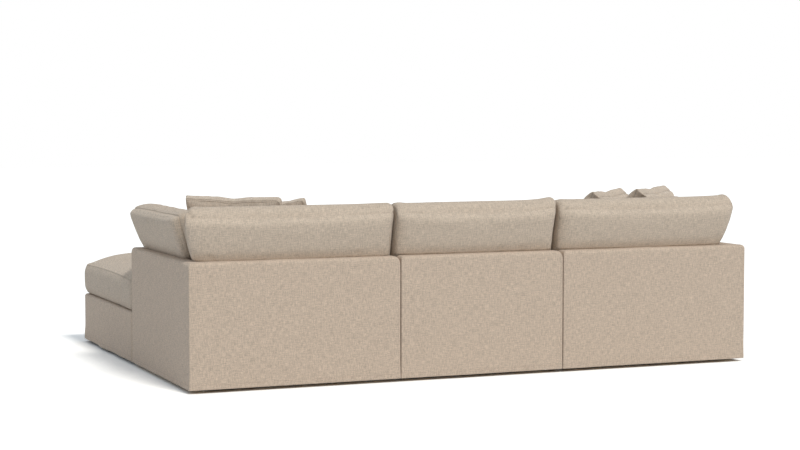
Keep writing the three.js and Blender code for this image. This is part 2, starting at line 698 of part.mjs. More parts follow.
// A plate with four screw heads, under the seam between two seats
function joiningPlate() {
  const top = GLIDE_HEIGHT - FIT;
  const bottom = top - PLATE_THICKNESS;
  const plate = block(
    [-PLATE_LENGTH / 2, -PLATE_WIDTH / 2, bottom],
    [PLATE_LENGTH / 2, PLATE_WIDTH / 2, top],
  );
  const heads = [];
  for (const x of [-1, 1])
    for (const y of [-1, 1])
      heads.push(
        peg(
          PLATE_SCREW_RADIUS,
          x * (PLATE_LENGTH / 2 - PLATE_SCREW_INSET),
          y * (PLATE_WIDTH / 2 - PLATE_SCREW_INSET / 2),
          bottom - PLATE_SCREW_HEAD,
          top - PLATE_THICKNESS / 2,
          PLATE_SCREW_SIDES,
        ),
      );
  return geometryOf(joined([plate, ...heads]));
}

const sofa = new THREE.Group();
for (const [name, width, arm, x] of [
  ["left", CORNER_WIDTH, 1, CORNER_CENTRE],
  ["middle", MIDDLE_WIDTH, 0, 0],
  ["right", CORNER_WIDTH, -1, -CORNER_CENTRE],
]) {
  const module = seat(name, width, arm);
  module.position.set(x, REAR, 0);
  sofa.add(module);
}

const chaise = ottoman();
chaise.position.set(CORNER_CENTRE, FRONT_OF_SEATS - MODULE_GAP - OTTOMAN_DEPTH / 2, 0);
sofa.add(chaise);

for (const [name, side] of [
  ["joining_plate_left", 1],
  ["joining_plate_right", -1],
]) {
  const plate = named(name, joiningPlate(), PLATE_STEEL);
  plate.position.set((side * (MIDDLE_WIDTH + MODULE_GAP)) / 2, REAR - SEAT_DEPTH / 2, 0);
  sofa.add(plate);
}

export default sofa;
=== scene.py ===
"""A sectional sofa with a chaise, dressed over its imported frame.

Two corner seats, an armless middle seat and an ottoman, upholstered in a melange linen, with
loose seat, back and side cushions and four scatter pillows. Metres; +Z is up, the sofa faces -Y
and the chaise stands at +X.
"""

import logging
import math
from abc import ABC, abstractmethod
from collections.abc import Callable, Sequence
from dataclasses import dataclass, field
from enum import Enum

import bpy
import numpy as np
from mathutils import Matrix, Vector, noise


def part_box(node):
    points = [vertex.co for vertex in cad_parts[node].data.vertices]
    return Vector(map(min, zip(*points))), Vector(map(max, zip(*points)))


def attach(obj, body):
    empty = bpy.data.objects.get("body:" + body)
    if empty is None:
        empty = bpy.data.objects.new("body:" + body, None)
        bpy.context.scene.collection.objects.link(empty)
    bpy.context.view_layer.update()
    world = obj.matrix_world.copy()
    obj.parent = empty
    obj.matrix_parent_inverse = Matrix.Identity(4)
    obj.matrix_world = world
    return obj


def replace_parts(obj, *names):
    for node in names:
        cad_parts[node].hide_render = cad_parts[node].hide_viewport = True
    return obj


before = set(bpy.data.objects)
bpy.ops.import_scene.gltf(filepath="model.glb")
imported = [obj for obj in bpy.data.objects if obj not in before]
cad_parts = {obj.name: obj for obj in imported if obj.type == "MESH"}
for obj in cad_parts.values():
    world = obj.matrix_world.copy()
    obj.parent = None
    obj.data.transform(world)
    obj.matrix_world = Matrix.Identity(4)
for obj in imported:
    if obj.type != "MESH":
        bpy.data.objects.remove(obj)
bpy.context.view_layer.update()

log = logging.getLogger("sofa")

Array = np.ndarray
Place = tuple[float, float, float]
MM = 0.001


def lerp(low: Array | float, high: Array | float, share: Array | float) -> Array | float:
    """Value at a share of the way from low to high."""
    return low + (high - low) * share


def hump(t: Array, power: float = 2) -> Array:
    """1 in the middle and 0 at both edges, for t from -1 to 1."""
    return 1 - np.abs(t) ** power


def eased(value: Array | float, low: float, high: float) -> Array:
    """Smooth step from 0 at low to 1 at high."""
    t = np.clip((np.asarray(value, float) - low) / (high - low), 0, 1)
    return t * t * (3 - 2 * t)


def bell(value: Array, middle: float, width: float) -> Array:
    """1 at the middle, falling away over about the width."""
    return np.exp(-(((value - middle) / width) ** 2))


def graded(length: float, cell: float, edge: Sequence[float]) -> Array:
    """Stations from 0 to a length, with those of edge near both ends and cells between."""
    near = np.asarray(edge, float)
    run = length - 2 * near[-1]
    count = max(1, round(run / cell))
    middle = near[-1] + run * np.arange(1, count) / count
    return np.concatenate([near, middle, (length - near)[::-1]])


def rough(points: Array, scale: Sequence[float], seed: float) -> Array:
    """Smooth noise from -1 to 1 at each point, by its scale along x, y and z."""
    moved = points * np.asarray(scale, float) + seed
    return np.array([noise.noise(Vector(row)) for row in moved])


def stacked(*columns: Array) -> Array:
    """Points from their columns of x, y and z."""
    return np.stack(columns, axis=1)


def running(steps: Array) -> Array:
    """The total before each step, and the whole at the end."""
    return np.concatenate([[0], np.cumsum(steps)])


def steps_round(loop: Array) -> Array:
    """How far it is from each point of a closed loop to the next."""
    return np.linalg.norm(np.roll(loop, -1, axis=0) - loop, axis=1)


def placed(name: str, data: bpy.types.ID) -> bpy.types.Object:
    """A new object in the scene."""
    made = bpy.data.objects.new(name, data)
    bpy.context.scene.collection.objects.link(made)
    return made


def net(name: str, points: list[Place], edges: list, faces: list) -> bpy.types.Mesh:
    """A new mesh."""
    mesh = bpy.data.meshes.new(name)
    mesh.from_pydata(points, edges, faces)
    return mesh


def square_corners(turned: bool) -> list[tuple[slice, slice]]:
    """Slices of a grid that give the corners of its squares, in their order round them."""
    low, high = slice(0, -1), slice(1, None)
    corners = [(low, low), (high, low), (high, high), (low, high)]
    return corners[::-1] if turned else corners


def squares(grid: Array, turned: bool) -> Array:
    """The values at the four corners of each square of a grid."""
    parts = [grid[corner] for corner in square_corners(turned)]
    return np.stack([part.reshape(-1, *part.shape[2:]) for part in parts], axis=1)


@dataclass(frozen=True)
class SofaSizes:
    """Sizes that the pieces share with the frame, in metres."""

    corner_width: float = 1.100
    middle_width: float = 0.910
    seat_depth: float = 1.100
    ottoman_width: float = 1.100
    ottoman_depth: float = 1.115
    module_gap: float = 0.0006
    hem: float = 0.020
    base_top: float = 0.285
    wall_top: float = 0.635
    wall: float = 0.085
    cover: float = 0.012
    edge_radius: float = 0.022
    fit: float = 0.0003
    cushion_gap: float = 0.001
    seat_boxing: float = 0.170
    seat_crown: float = 0.066
    ottoman_crown: float = 0.080
    glide_radius: float = 0.025

    @property
    def rear(self) -> float:
        """Y of the seats' rear faces."""
        return (self.seat_depth + self.module_gap + self.ottoman_depth) / 2

    @property
    def front(self) -> float:
        """Y of the seats' front faces."""
        return self.rear - self.seat_depth

    @property
    def corner_centre(self) -> float:
        """X of the middle of the left corner seat."""
        return self.middle_width / 2 + self.module_gap + self.corner_width / 2

    @property
    def seat_bottom(self) -> float:
        """Height of a seat cushion's underside."""
        return self.base_top + self.fit

    @property
    def seat_seam(self) -> float:
        """Height of a seat cushion's upper seam."""
        return self.seat_bottom + self.seat_boxing

    @property
    def leaning_bottom(self) -> float:
        """Height of the foot of the back and side cushions."""
        return self.seat_seam + self.fit

    @property
    def spill(self) -> float:
        """Height from which a cushion lies over its wall."""
        return self.wall_top + self.fit


SIZES = SofaSizes()


class Arm(Enum):
    """Where a seat has its arm: the value is the sign of x."""

    LEFT = 1
    NONE = 0
    RIGHT = -1


@dataclass(frozen=True)
class Rectangle:
    """A rectangle in plan, between two corners."""

    x0: float
    y0: float
    x1: float
    y1: float

    def holds(self, x: float, y: float) -> bool:
        """Whether a place is inside."""
        return self.x0 < x < self.x1 and self.y0 < y < self.y1

    def inset(self, left: float, right: float, rear: float) -> "Rectangle":
        """The rectangle with its left (-x), right (+x) and rear sides moved in."""
        return Rectangle(self.x0 + left, self.y0, self.x1 - right, self.y1 - rear)


def module_plans() -> dict[str, Rectangle]:
    """The outer plan of each module, by name."""
    s = SIZES
    half, ottoman, middle = s.corner_width / 2, s.ottoman_width / 2, s.middle_width / 2
    near, centre = s.front - s.module_gap, s.corner_centre
    return {
        "left": Rectangle(centre - half, s.front, centre + half, s.rear),
        "middle": Rectangle(-middle, s.front, middle, s.rear),
        "right": Rectangle(-centre - half, s.front, half - centre, s.rear),
        "ottoman": Rectangle(centre - ottoman, near - s.ottoman_depth, centre + ottoman, near),
    }


PLANS = module_plans()
FREE_REACH = 0.03


def is_free(x: float, y: float, out: Sequence[float]) -> bool:
    """Whether a place on a module's side, which faces out, has no module in front of it."""
    px, py = x + out[0] * FREE_REACH, y + out[1] * FREE_REACH
    return not any(plan.holds(px, py) for plan in PLANS.values())


# ---------------------------------------------------------------------------------------------
# Node trees

Rgb = tuple[float, float, float]


def linear(red: int, green: int, blue: int) -> Rgb:
    """Linear colour of an sRGB one that is given from 0 to 255."""

    def one(value: int) -> float:
        """Linear share of one channel."""
        share = value / 255
        return share / 12.92 if share <= 0.04045 else ((share + 0.055) / 1.055) ** 2.4

    return one(red), one(green), one(blue)


def math_method(operation: str, swapped: bool = False) -> Callable[..., "Wire"]:
    """A method of Wire that adds a Math node, with its values swapped where it is reflected."""

    def method(self: "Wire", *others: "Wire | float") -> "Wire":
        """Adds the node."""
        values = [*others, self] if swapped else [self, *others]
        return self.board.node("ShaderNodeMath", {"operation": operation}, values)

    return method


class Wire:
    """A node's output, with the arithmetic that patterns are written in."""

    def __init__(self, board: "Board", socket: bpy.types.NodeSocket) -> None:
        """Wraps an output of one of the board's nodes."""
        self.board = board
        self.socket = socket

    __add__ = __radd__ = math_method("ADD")
    __sub__ = math_method("SUBTRACT")
    __rsub__ = math_method("SUBTRACT", swapped=True)
    __mul__ = __rmul__ = math_method("MULTIPLY")
    __truediv__ = math_method("DIVIDE")
    __pow__ = math_method("POWER")
    __mod__ = math_method("FLOORED_MODULO")
    above = math_method("GREATER_THAN")
    floor = math_method("FLOOR")
    fract = math_method("FRACT")
    absolute = math_method("ABSOLUTE")


class Board:
    """Builds a node tree."""

    def __init__(self, tree: bpy.types.NodeTree) -> None:
        """Takes the node tree that the nodes go into."""
        self.tree = tree

    @classmethod
    def emptied(cls, owner: "bpy.types.Material | bpy.types.World") -> "Board":
        """A builder for the node tree of a material or a world, which it empties."""
        owner.use_nodes = True
        owner.node_tree.nodes.clear()
        return cls(owner.node_tree)

    def node(
        self,
        kind: str,
        settings: dict[str, object] | None = None,
        inputs: "dict[str | int, object] | list[object] | None" = None,
        output: "str | int" = 0,
    ) -> Wire:
        """Adds a node.

        Args:
            kind: the node's type.
            settings: its properties, with a ramp's or a curve's stops under "stops".
            inputs: values or wires, by socket name or number, or as a list in order.
            output: the output to return, by name or number.

        Returns:
            The output.
        """
        made = self.tree.nodes.new(kind)
        for key, value in (settings or {}).items():
            if key != "stops":
                setattr(made, key, value)
            elif hasattr(made, "color_ramp"):
                self._ramp(made.color_ramp, value)
            else:
                self._curve(made.mapping, value)
        pairs = inputs.items() if isinstance(inputs, dict) else enumerate(inputs or [])
        for key, value in pairs:
            self.join(made.inputs[key], value)
        return Wire(self, made.outputs[output]) if made.outputs else Wire(self, None)

    @staticmethod
    def _ramp(ramp: bpy.types.ColorRamp, stops: Sequence[tuple[float, float]]) -> None:
        """Gives a colour ramp grey stops of (place, value)."""
        while len(ramp.elements) < len(stops):
            ramp.elements.new(1.0)
        for element, (place, value) in zip(ramp.elements, stops):
            element.position = place
            element.color = (value, value, value, 1)

    @staticmethod
    def _curve(mapping: bpy.types.CurveMapping, stops: Sequence[tuple[float, float]]) -> None:
        """Gives a float curve straight runs between (place, value) points."""
        points = mapping.curves[0].points
        while len(points) < len(stops):
            points.new(0.5, 0.5)
        for point, place in zip(points, stops):
            point.location = place
            point.handle_type = "VECTOR"
        mapping.update()

    def join(self, socket: bpy.types.NodeSocket, value: object) -> None:
        """Feeds a socket with a wire or a value."""
        if isinstance(value, Wire):
            self.tree.links.new(value.socket, socket)
        elif socket.type == "RGBA":
            socket.default_value = (*value, 1) if len(value) == 3 else value
        else:
            socket.default_value = value

    def vector(self, x: Wire | float, y: Wire | float, z: Wire | float = 0.0) -> Wire:
        """A vector of three values."""
        return self.node("ShaderNodeCombineXYZ", {}, [x, y, z])

    def split(self, vector: Wire) -> tuple[Wire, Wire, Wire]:
        """The three values of a vector."""
        parts = self.node("ShaderNodeSeparateXYZ", {}, [vector]).socket.node.outputs
        return tuple(Wire(self, part) for part in parts)

    def noise(self, vector: Wire, scale: float, detail: float = 2, rough: float = 0.5) -> Wire:
        """Smooth noise of about 0.5."""
        values = {"Vector": vector, "Scale": scale, "Detail": detail, "Roughness": rough}
        return self.node("ShaderNodeTexNoise", {}, values)

    def mix(self, share: Wire | float, first: Wire | Rgb, second: Wire | Rgb) -> Wire:
        """A colour between two."""
        return self.node("ShaderNodeMix", {"data_type": "RGBA"}, {0: share, 6: first, 7: second}, 2)

    def dim(self, color: Wire | Rgb, by: Wire | float) -> Wire:
        """A colour times a value."""
        settings = {"operation": "SCALE"}
        return self.node("ShaderNodeVectorMath", settings, {"Vector": color, "Scale": by})

    def ramp(self, value: Wire, stops: Sequence[tuple[float, float]]) -> Wire:
        """A value led through (place, value) stops."""
        return self.node("ShaderNodeValToRGB", {"stops": stops}, [value])

    def tube(
        self, path: Wire, count: int, stops: list[tuple[float, float]], sides: int, radius: Wire
    ) -> Wire:
        """A closed tube along a path.

        Args:
            path: the curve that it follows.
            count: how many rings it has.
            stops: shares of its radius, at (place, share) stops.
            sides: how many sides a ring has.
            radius: its full radius.

        Returns:
            The mesh.
        """
        fine = self.node("GeometryNodeResampleCurve", {}, {"Curve": path, "Count": count})
        at = self.node("GeometryNodeSplineParameter")
        share = self.node("ShaderNodeFloatCurve", {"stops": stops}, {"Value": at})
        shaped = self.node("GeometryNodeSetCurveRadius", {}, {"Curve": fine, "Radius": share})
        sizes = {"Resolution": sides, "Radius": radius}
        ring = self.node("GeometryNodeCurvePrimitiveCircle", {}, sizes)
        values = {"Curve": shaped, "Profile Curve": ring, "Fill Caps": True}
        return self.node("GeometryNodeCurveToMesh", {}, values)


class Paint(Board):
    """Builds one material with one principled shader."""

    def __init__(self, name: str) -> None:
        """Starts an empty material of that name."""
        self.material = bpy.data.materials.new(name)
        self.material.use_nodes = True
        super().__init__(self.material.node_tree)
        self.tree.nodes.clear()

    def place(self) -> Wire:
        """The point's place in the object's own coordinates."""
        return self.node("ShaderNodeTexCoord", {}, {}, "Object")

    def cloth_place(self) -> Wire:
        """The point's place on its panel of cloth, in metres."""
        return self.node("ShaderNodeUVMap", {"uv_map": CLOTH_MAP})

    def bump(self, height: Wire, depth: float, strength: float = 1.0) -> Wire:
        """A normal from a height of 0 to 1."""
        values = {"Strength": strength, "Distance": depth, "Height": height}
        return self.node("ShaderNodeBump", {}, values)

    def weave(self, column: Wire, row: Wire) -> tuple[Wire, Wire, Wire]:
        """Whether the warp lies on top, and how round each yarn stands, by yarns each way."""
        warp_up = (column.floor() + row.floor()) % 2.0
        across = 1 - (column.fract() * 2 - 1) ** 2
        along = 1 - (row.fract() * 2 - 1) ** 2
        return warp_up, across, along

    def finish(self, values: dict[str, object]) -> bpy.types.Material:
        """Ends the material, with wires or values by shader socket."""
        shader = self.node("ShaderNodeBsdfPrincipled", {}, values)
        self.node("ShaderNodeOutputMaterial", {}, {"Surface": shader})
        return self.material


# ---------------------------------------------------------------------------------------------
# Finishes

CLOTH_MAP = "Cloth"
# Name of the point value that darkens the cloth's colour in the folds of its seams, as painted
# shade.
SEAM_SHADE = "seam"
PANEL_SHIFT, END_SHIFT, CAP_SHIFT = 3.1, 1.7, 7.3


@dataclass(frozen=True)
class Linen:
    """A plain-woven melange furnishing fabric. Lengths are in metres."""

    name: str
    warp: tuple[int, int, int] = (217, 199, 182)
    weft: tuple[int, int, int] = (206, 188, 170)
    fleck: tuple[int, int, int] = (168, 150, 132)
    yarn: float = 0.0021
    fleck_share: float = 0.30
    clouding: float = 0.10
    speckle: float = 0.19
    relief: float = 0.0022

    def material(self) -> bpy.types.Material:
        """The woven cloth, with slubs, flecks, slight clouding, painted shade in the folds of its
        seams and between its yarns, and light flecks that are partly painted highlights.
        """
        paint = Paint(self.name)
        u, v, _ = paint.split(paint.cloth_place())
        warp_up, across, along = paint.weave(u / self.yarn, v / self.yarn)
        over = warp_up * across * along**0.5 + (1 - warp_up) * along * across**0.5
        slub_up = paint.noise(paint.vector(u * 210, v * 34), 1, 2, 0.5)
        slub_across = paint.noise(paint.vector(u * 34, v * 210), 1, 2, 0.5)
        grain = paint.noise(paint.vector(u * 260, v * 260), 1, 2, 0.5)
        blend = paint.noise(paint.vector(u * 260, v * 260, 4.0), 1, 3, 0.65)
        coarse = [paint.ramp(n, [(0.36, 0), (0.64, 1)]) for n in (slub_up, slub_across, grain)]
        speckle = coarse[0] + coarse[1] + coarse[2]
        clouds = paint.noise(paint.place(), 14, 3, 0.6)
        flecks = paint.ramp(blend, [(0.36, 1), (0.52, 0)])
        base = paint.mix(warp_up * 0.5 + slub_up * 0.5, linear(*self.weft), linear(*self.warp))
        flecked = paint.mix(flecks * self.fleck_share, base, linear(*self.fleck))
        # The level rises where the weave stands high, so the hollows between the yarns are painted
        # shade; the speckle lightens random flecks and short streaks, partly the melange's lighter
        # yarns and partly painted highlights on them.
        level = 0.68 + clouds * self.clouding + speckle * self.speckle + over * 0.08
        # The seam value darkens the colour by up to 16 % in the folds of the seams: painted shade.
        seam = paint.node("ShaderNodeAttribute", {"attribute_name": SEAM_SHADE}, {}, "Fac")
        color = paint.dim(flecked, level * (1 - seam * 0.16))
        relief = over * 0.30 + (slub_up + slub_across) * 0.45 + grain * 0.8
        return paint.finish(
            {
                "Specular IOR Level": 0.2,
                "Sheen Weight": 0.25,
                "Sheen Roughness": 0.5,
                "Base Color": color,
                "Roughness": 0.86 + blend * 0.12,
                "Normal": paint.bump(relief, self.relief, 1.0),
            }
        )


@dataclass(frozen=True)
class Timber:
    """Planed softwood, with its grain along the longer way of the frame."""

    name: str = "Timber"

    def material(self) -> bpy.types.Material:
        """Grain, rings and a few darker streaks."""
        paint = Paint(self.name)
        x, y, z = paint.split(paint.place())
        wander = paint.noise(paint.vector(x * 2, y * 2, z * 9), 1.5, 3)
        rings = ((z * 95 + wander * 9 + x * 3 + y * 3).fract() * 2 - 1).absolute()
        pores = paint.noise(paint.vector(x * 14, y * 14, z * 420), 1, 4, 0.7)
        light = paint.mix(rings, linear(214, 184, 141), linear(188, 152, 106))
        streaks = paint.ramp(pores, [(0.45, 0), (0.72, 1)]) * 0.4
        return paint.finish(
            {
                "Specular IOR Level": 0.35,
                "Base Color": paint.mix(streaks, light, linear(140, 104, 66)),
                "Roughness": 0.6 + pores * 0.25,
                "Normal": paint.bump(rings * 0.4 + pores * 0.6, 0.0006, 0.5),
            }
        )


@dataclass(frozen=True)
class Woven:
    """A coarse or fine woven band or lining, seen on flat faces."""

    name: str
    light: tuple[int, int, int]
    dark: tuple[int, int, int]
    yarn: float
    stripe: float = 0.0

    def material(self) -> bpy.types.Material:
        """A plain weave by place in plan, with stripes along x where it has them, and painted shade
        between the yarns.
        """
        paint = Paint(self.name)
        x, y, z = paint.split(paint.place())
        warp_up, across, along = paint.weave((x + z) / self.yarn, (y + z) / self.yarn)
        over = warp_up * across + (1 - warp_up) * along
        uneven = paint.noise(paint.vector(x * 240, y * 240, z * 240), 1, 3)
        share = warp_up * 0.35 + uneven * 0.65
        if self.stripe:
            share = share * 0.6 + (x / self.stripe).fract().above(0.86) * 0.4
        color = paint.mix(share, linear(*self.light), linear(*self.dark))
        # The colour is dimmed where the weave is low, between the yarns: painted shade.
        return paint.finish(
            {
                "Specular IOR Level": 0.2,
                "Base Color": paint.dim(color, 0.85 + over * 0.15),
                "Roughness": 0.85 + uneven * 0.12,
                "Normal": paint.bump(over + uneven * 0.5, self.yarn * 0.3, 0.6),
            }
        )


@dataclass(frozen=True)
class Thread:
    """Sewing thread, twisted from two strands."""

    name: str = "Thread"
    color: tuple[int, int, int] = (187, 172, 154)

    def material(self) -> bpy.types.Material:
        """A slight sheen and a fine twist."""
        paint = Paint(self.name)
        x, y, z = paint.split(paint.place())
        twist = (((x + y) * 1500 + z * 900).fract() * 2 - 1).absolute()
        fuzz = paint.noise(paint.place(), 900, 2)
        # The colour is dimmed where the twist is low, between its strands: painted shade.
        color = paint.dim(linear(*self.color), 0.8 + twist * 0.2 + fuzz * 0.1)
        return paint.finish(
            {
                "Sheen Weight": 0.1,
                "Base Color": color,
                "Roughness": 0.6 + fuzz * 0.2,
                "Normal": paint.bump(twist, 0.0002, 0.5),
            }
        )


@dataclass(frozen=True)
class MouldedPlastic:
    """Black moulded plastic, scuffed a little at the foot."""

    name: str = "Moulded plastic"

    def material(self) -> bpy.types.Material:
        """A fine moulded grain, duller and greyer near the floor."""
        paint = Paint(self.name)
        place = paint.place()
        _, _, z = paint.split(place)
        grain = paint.noise(place, 1600, 3)
        scuff = paint.noise(place, 220, 4, 0.7) * (1 - paint.ramp(z * 100, [(0.0, 0), (0.9, 1)]))
        color = paint.mix(scuff, linear(27, 26, 25), linear(92, 88, 83))
        return paint.finish(
            {
                "Specular IOR Level": 0.5,
                "Base Color": color,
                "Roughness": 0.38 + grain * 0.12 + scuff * 0.3,
                "Normal": paint.bump(grain, 0.0001, 0.4),
            }
        )


@dataclass(frozen=True)
class PlatedSteel:
    """Zinc-plated steel, drawn along x."""

    name: str = "Plated steel"

    def material(self) -> bpy.types.Material:
        """Faint drawing lines and blotches of the plating."""
        paint = Paint(self.name)
        place = paint.place()
        x, y, z = paint.split(place)
        drawn = paint.noise(paint.vector(x * 12, y * 900, z * 900), 1, 3)
        blotch = paint.noise(place, 70, 3)
        color = paint.mix(blotch, linear(176, 178, 180), linear(142, 145, 149))
        return paint.finish(
            {
                "Base Color": color,
                "Metallic": 0.92 + drawn * 0.08,
                "Roughness": 0.28 + drawn * 0.16 + blotch * 0.1,
                "Normal": paint.bump(drawn, 0.00005, 0.4),
            }
        )


class Finishes:
    """Every material of the sofa, made once."""

    def __init__(self) -> None:
        """Makes the materials."""
        self.cover = Linen("Cover fabric").material()
        self.cushion = Linen("Cushion fabric", (216, 201, 185), (205, 190, 173)).material()
        self.pillow = Linen("Pillow fabric", (222, 208, 193), (211, 196, 180)).material()
        self.timber = Timber().material()
        self.webbing = Woven("Webbing", (160, 134, 94), (111, 90, 60), 0.0022, 0.02).material()
        self.deck = Woven("Deck cloth", (224, 217, 204), (200, 192, 178), 0.0012).material()
        self.dust = Woven("Dust cloth", (50, 48, 46), (34, 33, 32), 0.0009).material()
        self.thread = Thread().material()
        self.plastic = MouldedPlastic().material()
        self.steel = PlatedSteel().material()


# ---------------------------------------------------------------------------------------------
# Surfaces


class Shell:
    """A closed surface of quads, with a place on the cloth at every corner of a face."""

    def __init__(self, points: Array, quads: Array, cloth: Array) -> None:
        """Takes the points, the quads and their corners on the cloth, and turns them out."""
        self.points = points
        self.quads = quads
        self.cloth = cloth
        a, b, c, d = (points[quads[:, i]] for i in range(4))
        volume = np.sum(np.cross(a, b) * c) + np.sum(np.cross(a, c) * d)
        if volume < 0:
            self.quads = quads[:, ::-1]
            self.cloth = cloth[:, ::-1]

    def normals(self) -> Array:
        """The outward direction at each point."""
        a, b, c, d = (self.points[self.quads[:, i]] for i in range(4))
        flat = np.cross(c - a, d - b)
        out = np.zeros_like(self.points)
        for i in range(4):
            np.add.at(out, self.quads[:, i], flat)
        return out / np.maximum(np.linalg.norm(out, axis=1, keepdims=True), 1e-12)

    def raise_by(self, height: Array) -> None:
        """Moves each point out by its height."""
        self.points = self.points + self.normals() * height[:, None]

    def piece(self, name: str, material: bpy.types.Material, seam: Array) -> bpy.types.Object:
        """Makes the object; seam is 0 to 1 at each point, 1 in the fold of a seam, where the
        cloth's colour is darkened as painted shade.
        """
        mesh = net(name, self.points.tolist(), [], self.quads.tolist())
        cloth = mesh.uv_layers.new(name=CLOTH_MAP)
        cloth.data.foreach_set("uv", self.cloth.astype(np.float32).ravel())
        value = mesh.attributes.new(SEAM_SHADE, "FLOAT", "POINT")
        value.data.foreach_set("value", seam.astype(np.float32))
        mesh.polygons.foreach_set("use_smooth", np.ones(len(mesh.polygons), bool))
        mesh.materials.append(material)
        mesh.update()
        return placed(name, mesh)


class Lattice:
    """The points on the surface of a box of cells, by their stations along its three edges."""

    def __init__(self, *stations: Array) -> None:
        """Numbers the points, from the stations along the three edges, in metres."""
        self.stations = stations
        shape = tuple(len(line) for line in stations)
        steps = np.indices(shape)
        skin = np.zeros(shape, bool)
        for axis, count in enumerate(shape):
            skin |= (steps[axis] == 0) | (steps[axis] == count - 1)
        self.number = np.full(shape, -1)
        self.number[skin] = np.arange(skin.sum())
        self.steps = np.argwhere(skin)
        self.at = stacked(*(line[self.steps[:, i]] for i, line in enumerate(stations)))
        self.length = np.array([line[-1] for line in stations])

    def sheets(self) -> list[tuple[int, int, Array]]:
        """The six sides, as their axis, their end (0 or -1) and their point numbers."""
        return [
            (axis, end, np.take(self.number, end % self.number.shape[axis], axis=axis))
            for axis in range(3)
            for end in (0, -1)
        ]

    def faces(self) -> tuple[Array, Array]:
        """The quads and the places of their corners on the cloth."""
        quads, cloth = [], []
        for axis, end, sheet in self.sheets():
            first, second = (self.stations[i] for i in range(3) if i != axis)
            grid = np.stack(np.meshgrid(first, second, indexing="ij"), axis=-1)
            grid = grid + (axis * PANEL_SHIFT + (end + 1) * END_SHIFT)
            turned = (axis == 1) != (end == 0)
            quads.append(squares(sheet, turned))
            cloth.append(squares(grid, turned))
        return np.concatenate(quads), np.concatenate(cloth)

    def edge_distance(self, panel_axis: int) -> tuple[Array, Array]:
        """Each point's distance from the seams round the two panels, and if it is on a panel."""
        from_end = np.minimum(self.at, self.length - self.at)
        others = [i for i in range(3) if i != panel_axis]
        on_panel = from_end[:, panel_axis] == 0
        distance = np.where(on_panel, from_end[:, others].min(axis=1), from_end[:, panel_axis])
        return distance, on_panel

    def carried(self, coarse: "Lattice", moves: Array) -> Array:
        """Moves of the points of a coarse lattice of the same box, carried over to this one."""
        carried = np.zeros((len(self.at), 3))
        for (axis, _, mine), (_, _, theirs) in zip(self.sheets(), coarse.sheets()):
            first, second = (i for i in range(3) if i != axis)
            down = spline_weights(coarse.stations[first], self.stations[first])
            over = spline_weights(coarse.stations[second], self.stations[second])
            carried[mine] = np.einsum("fp,pqc,gq->fgc", down, moves[theirs], over)
        return carried


def spline_weights(coarse: Array, fine: Array) -> Array:
    """A row of weights for each fine station, which carry over what coarse ones have."""
    place = np.interp(fine, coarse, np.arange(len(coarse)))
    base = np.clip(np.floor(place).astype(int), 0, len(coarse) - 2)
    t = place - base
    cubic = (
        (-t + 2 * t**2 - t**3) / 2,
        (2 - 5 * t**2 + 3 * t**3) / 2,
        (t + 4 * t**2 - 3 * t**3) / 2,
        (t**3 - t**2) / 2,
    )
    weights = np.zeros((len(fine), len(coarse)))
    for shift, weight in zip((-1, 0, 1, 2), cubic):
        near = np.clip(base + shift, 0, len(coarse) - 1)
        np.add.at(weights, (np.arange(len(fine)), near), weight)
    return weights


# ---------------------------------------------------------------------------------------------
# Cushions

PANEL_EDGE = tuple(v * MM for v in (0, 1.5, 3, 5.5, 8.5, 10.5, 13, 18, 26))
BOXING_EDGE = tuple(v * MM for v in (0, 2, 5, 10, 18))
COARSE_EDGE = (0.0, 0.014)
MOST_INWARD, MOST_ASIDE, LEAST_ROOM = 4 * MM, 6 * MM, 0.3 * MM
SEAM_HOLD = 0.85
SEAM_FOLD, ALLOWANCE, HOLLOW = 1.3 * MM, 1.3 * MM, 0.8 * MM
PUCKER_SCALE, PUCKER_REACH, PUCKER_DEPTH = (34, 34, 34), 0.022, 1.1 * MM
SLACK_SCALE, SLACK_REACH = (9, 9, 9), 0.09


@dataclass(frozen=True)
class Blowing:
    """How a cover is blown up round its filling, as a cloth simulation."""

    pressure: float = 4.0
    slack: float = 0.02
    frames: int = 16
    stiffness: float = 12.0
    bending: float = 1.2
    cell: float = 0.030
    quality: int = 6
    mass: float = 0.4

    def moves(self, lattice: Lattice, points: Array, hold: Array) -> Array:
        """Runs the cloth.

        Args:
            lattice: the coarse lattice of the cushion.
            points: its points at the start.
            hold: 0 to 1 at each point, 1 where it cannot move.

        Returns:
            How far each point has moved.
        """
        mesh = net("blown", points.tolist(), [], Shell(points, *lattice.faces()).quads.tolist())
        blown = placed("blown", mesh)
        held = blown.vertex_groups.new(name="held")
        for level in np.unique(np.round(hold, 2)):
            if level > 0:
                members = np.flatnonzero(np.round(hold, 2) == level)
                held.add(members.tolist(), float(level), "REPLACE")
        modifier = blown.modifiers.new("cloth", "CLOTH")
        settings = {
            "quality": self.quality,
            "mass": self.mass,
            "tension_stiffness": self.stiffness,
            "compression_stiffness": self.stiffness,
            "shear_stiffness": self.stiffness / 2,
            "bending_stiffness": self.bending,
            "use_pressure": True,
            "uniform_pressure_force": self.pressure,
            "shrink_min": -self.slack,
            "vertex_group_mass": "held",
        }
        for key, value in settings.items():
            setattr(modifier.settings, key, value)
        modifier.settings.effector_weights.gravity = 0
        modifier.collision_settings.use_collision = False
        modifier.point_cache.frame_start = 1
        modifier.point_cache.frame_end = self.frames
        scene = bpy.context.scene
        for step in range(1, self.frames + 1):
            scene.frame_set(step)
        done = blown.evaluated_get(bpy.context.evaluated_depsgraph_get()).to_mesh()
        after = np.zeros(len(done.vertices) * 3)
        done.vertices.foreach_get("co", after)
        scene.frame_set(1)
        bpy.data.objects.remove(blown)
        bpy.data.meshes.remove(mesh)
        return after.reshape(-1, 3) - points


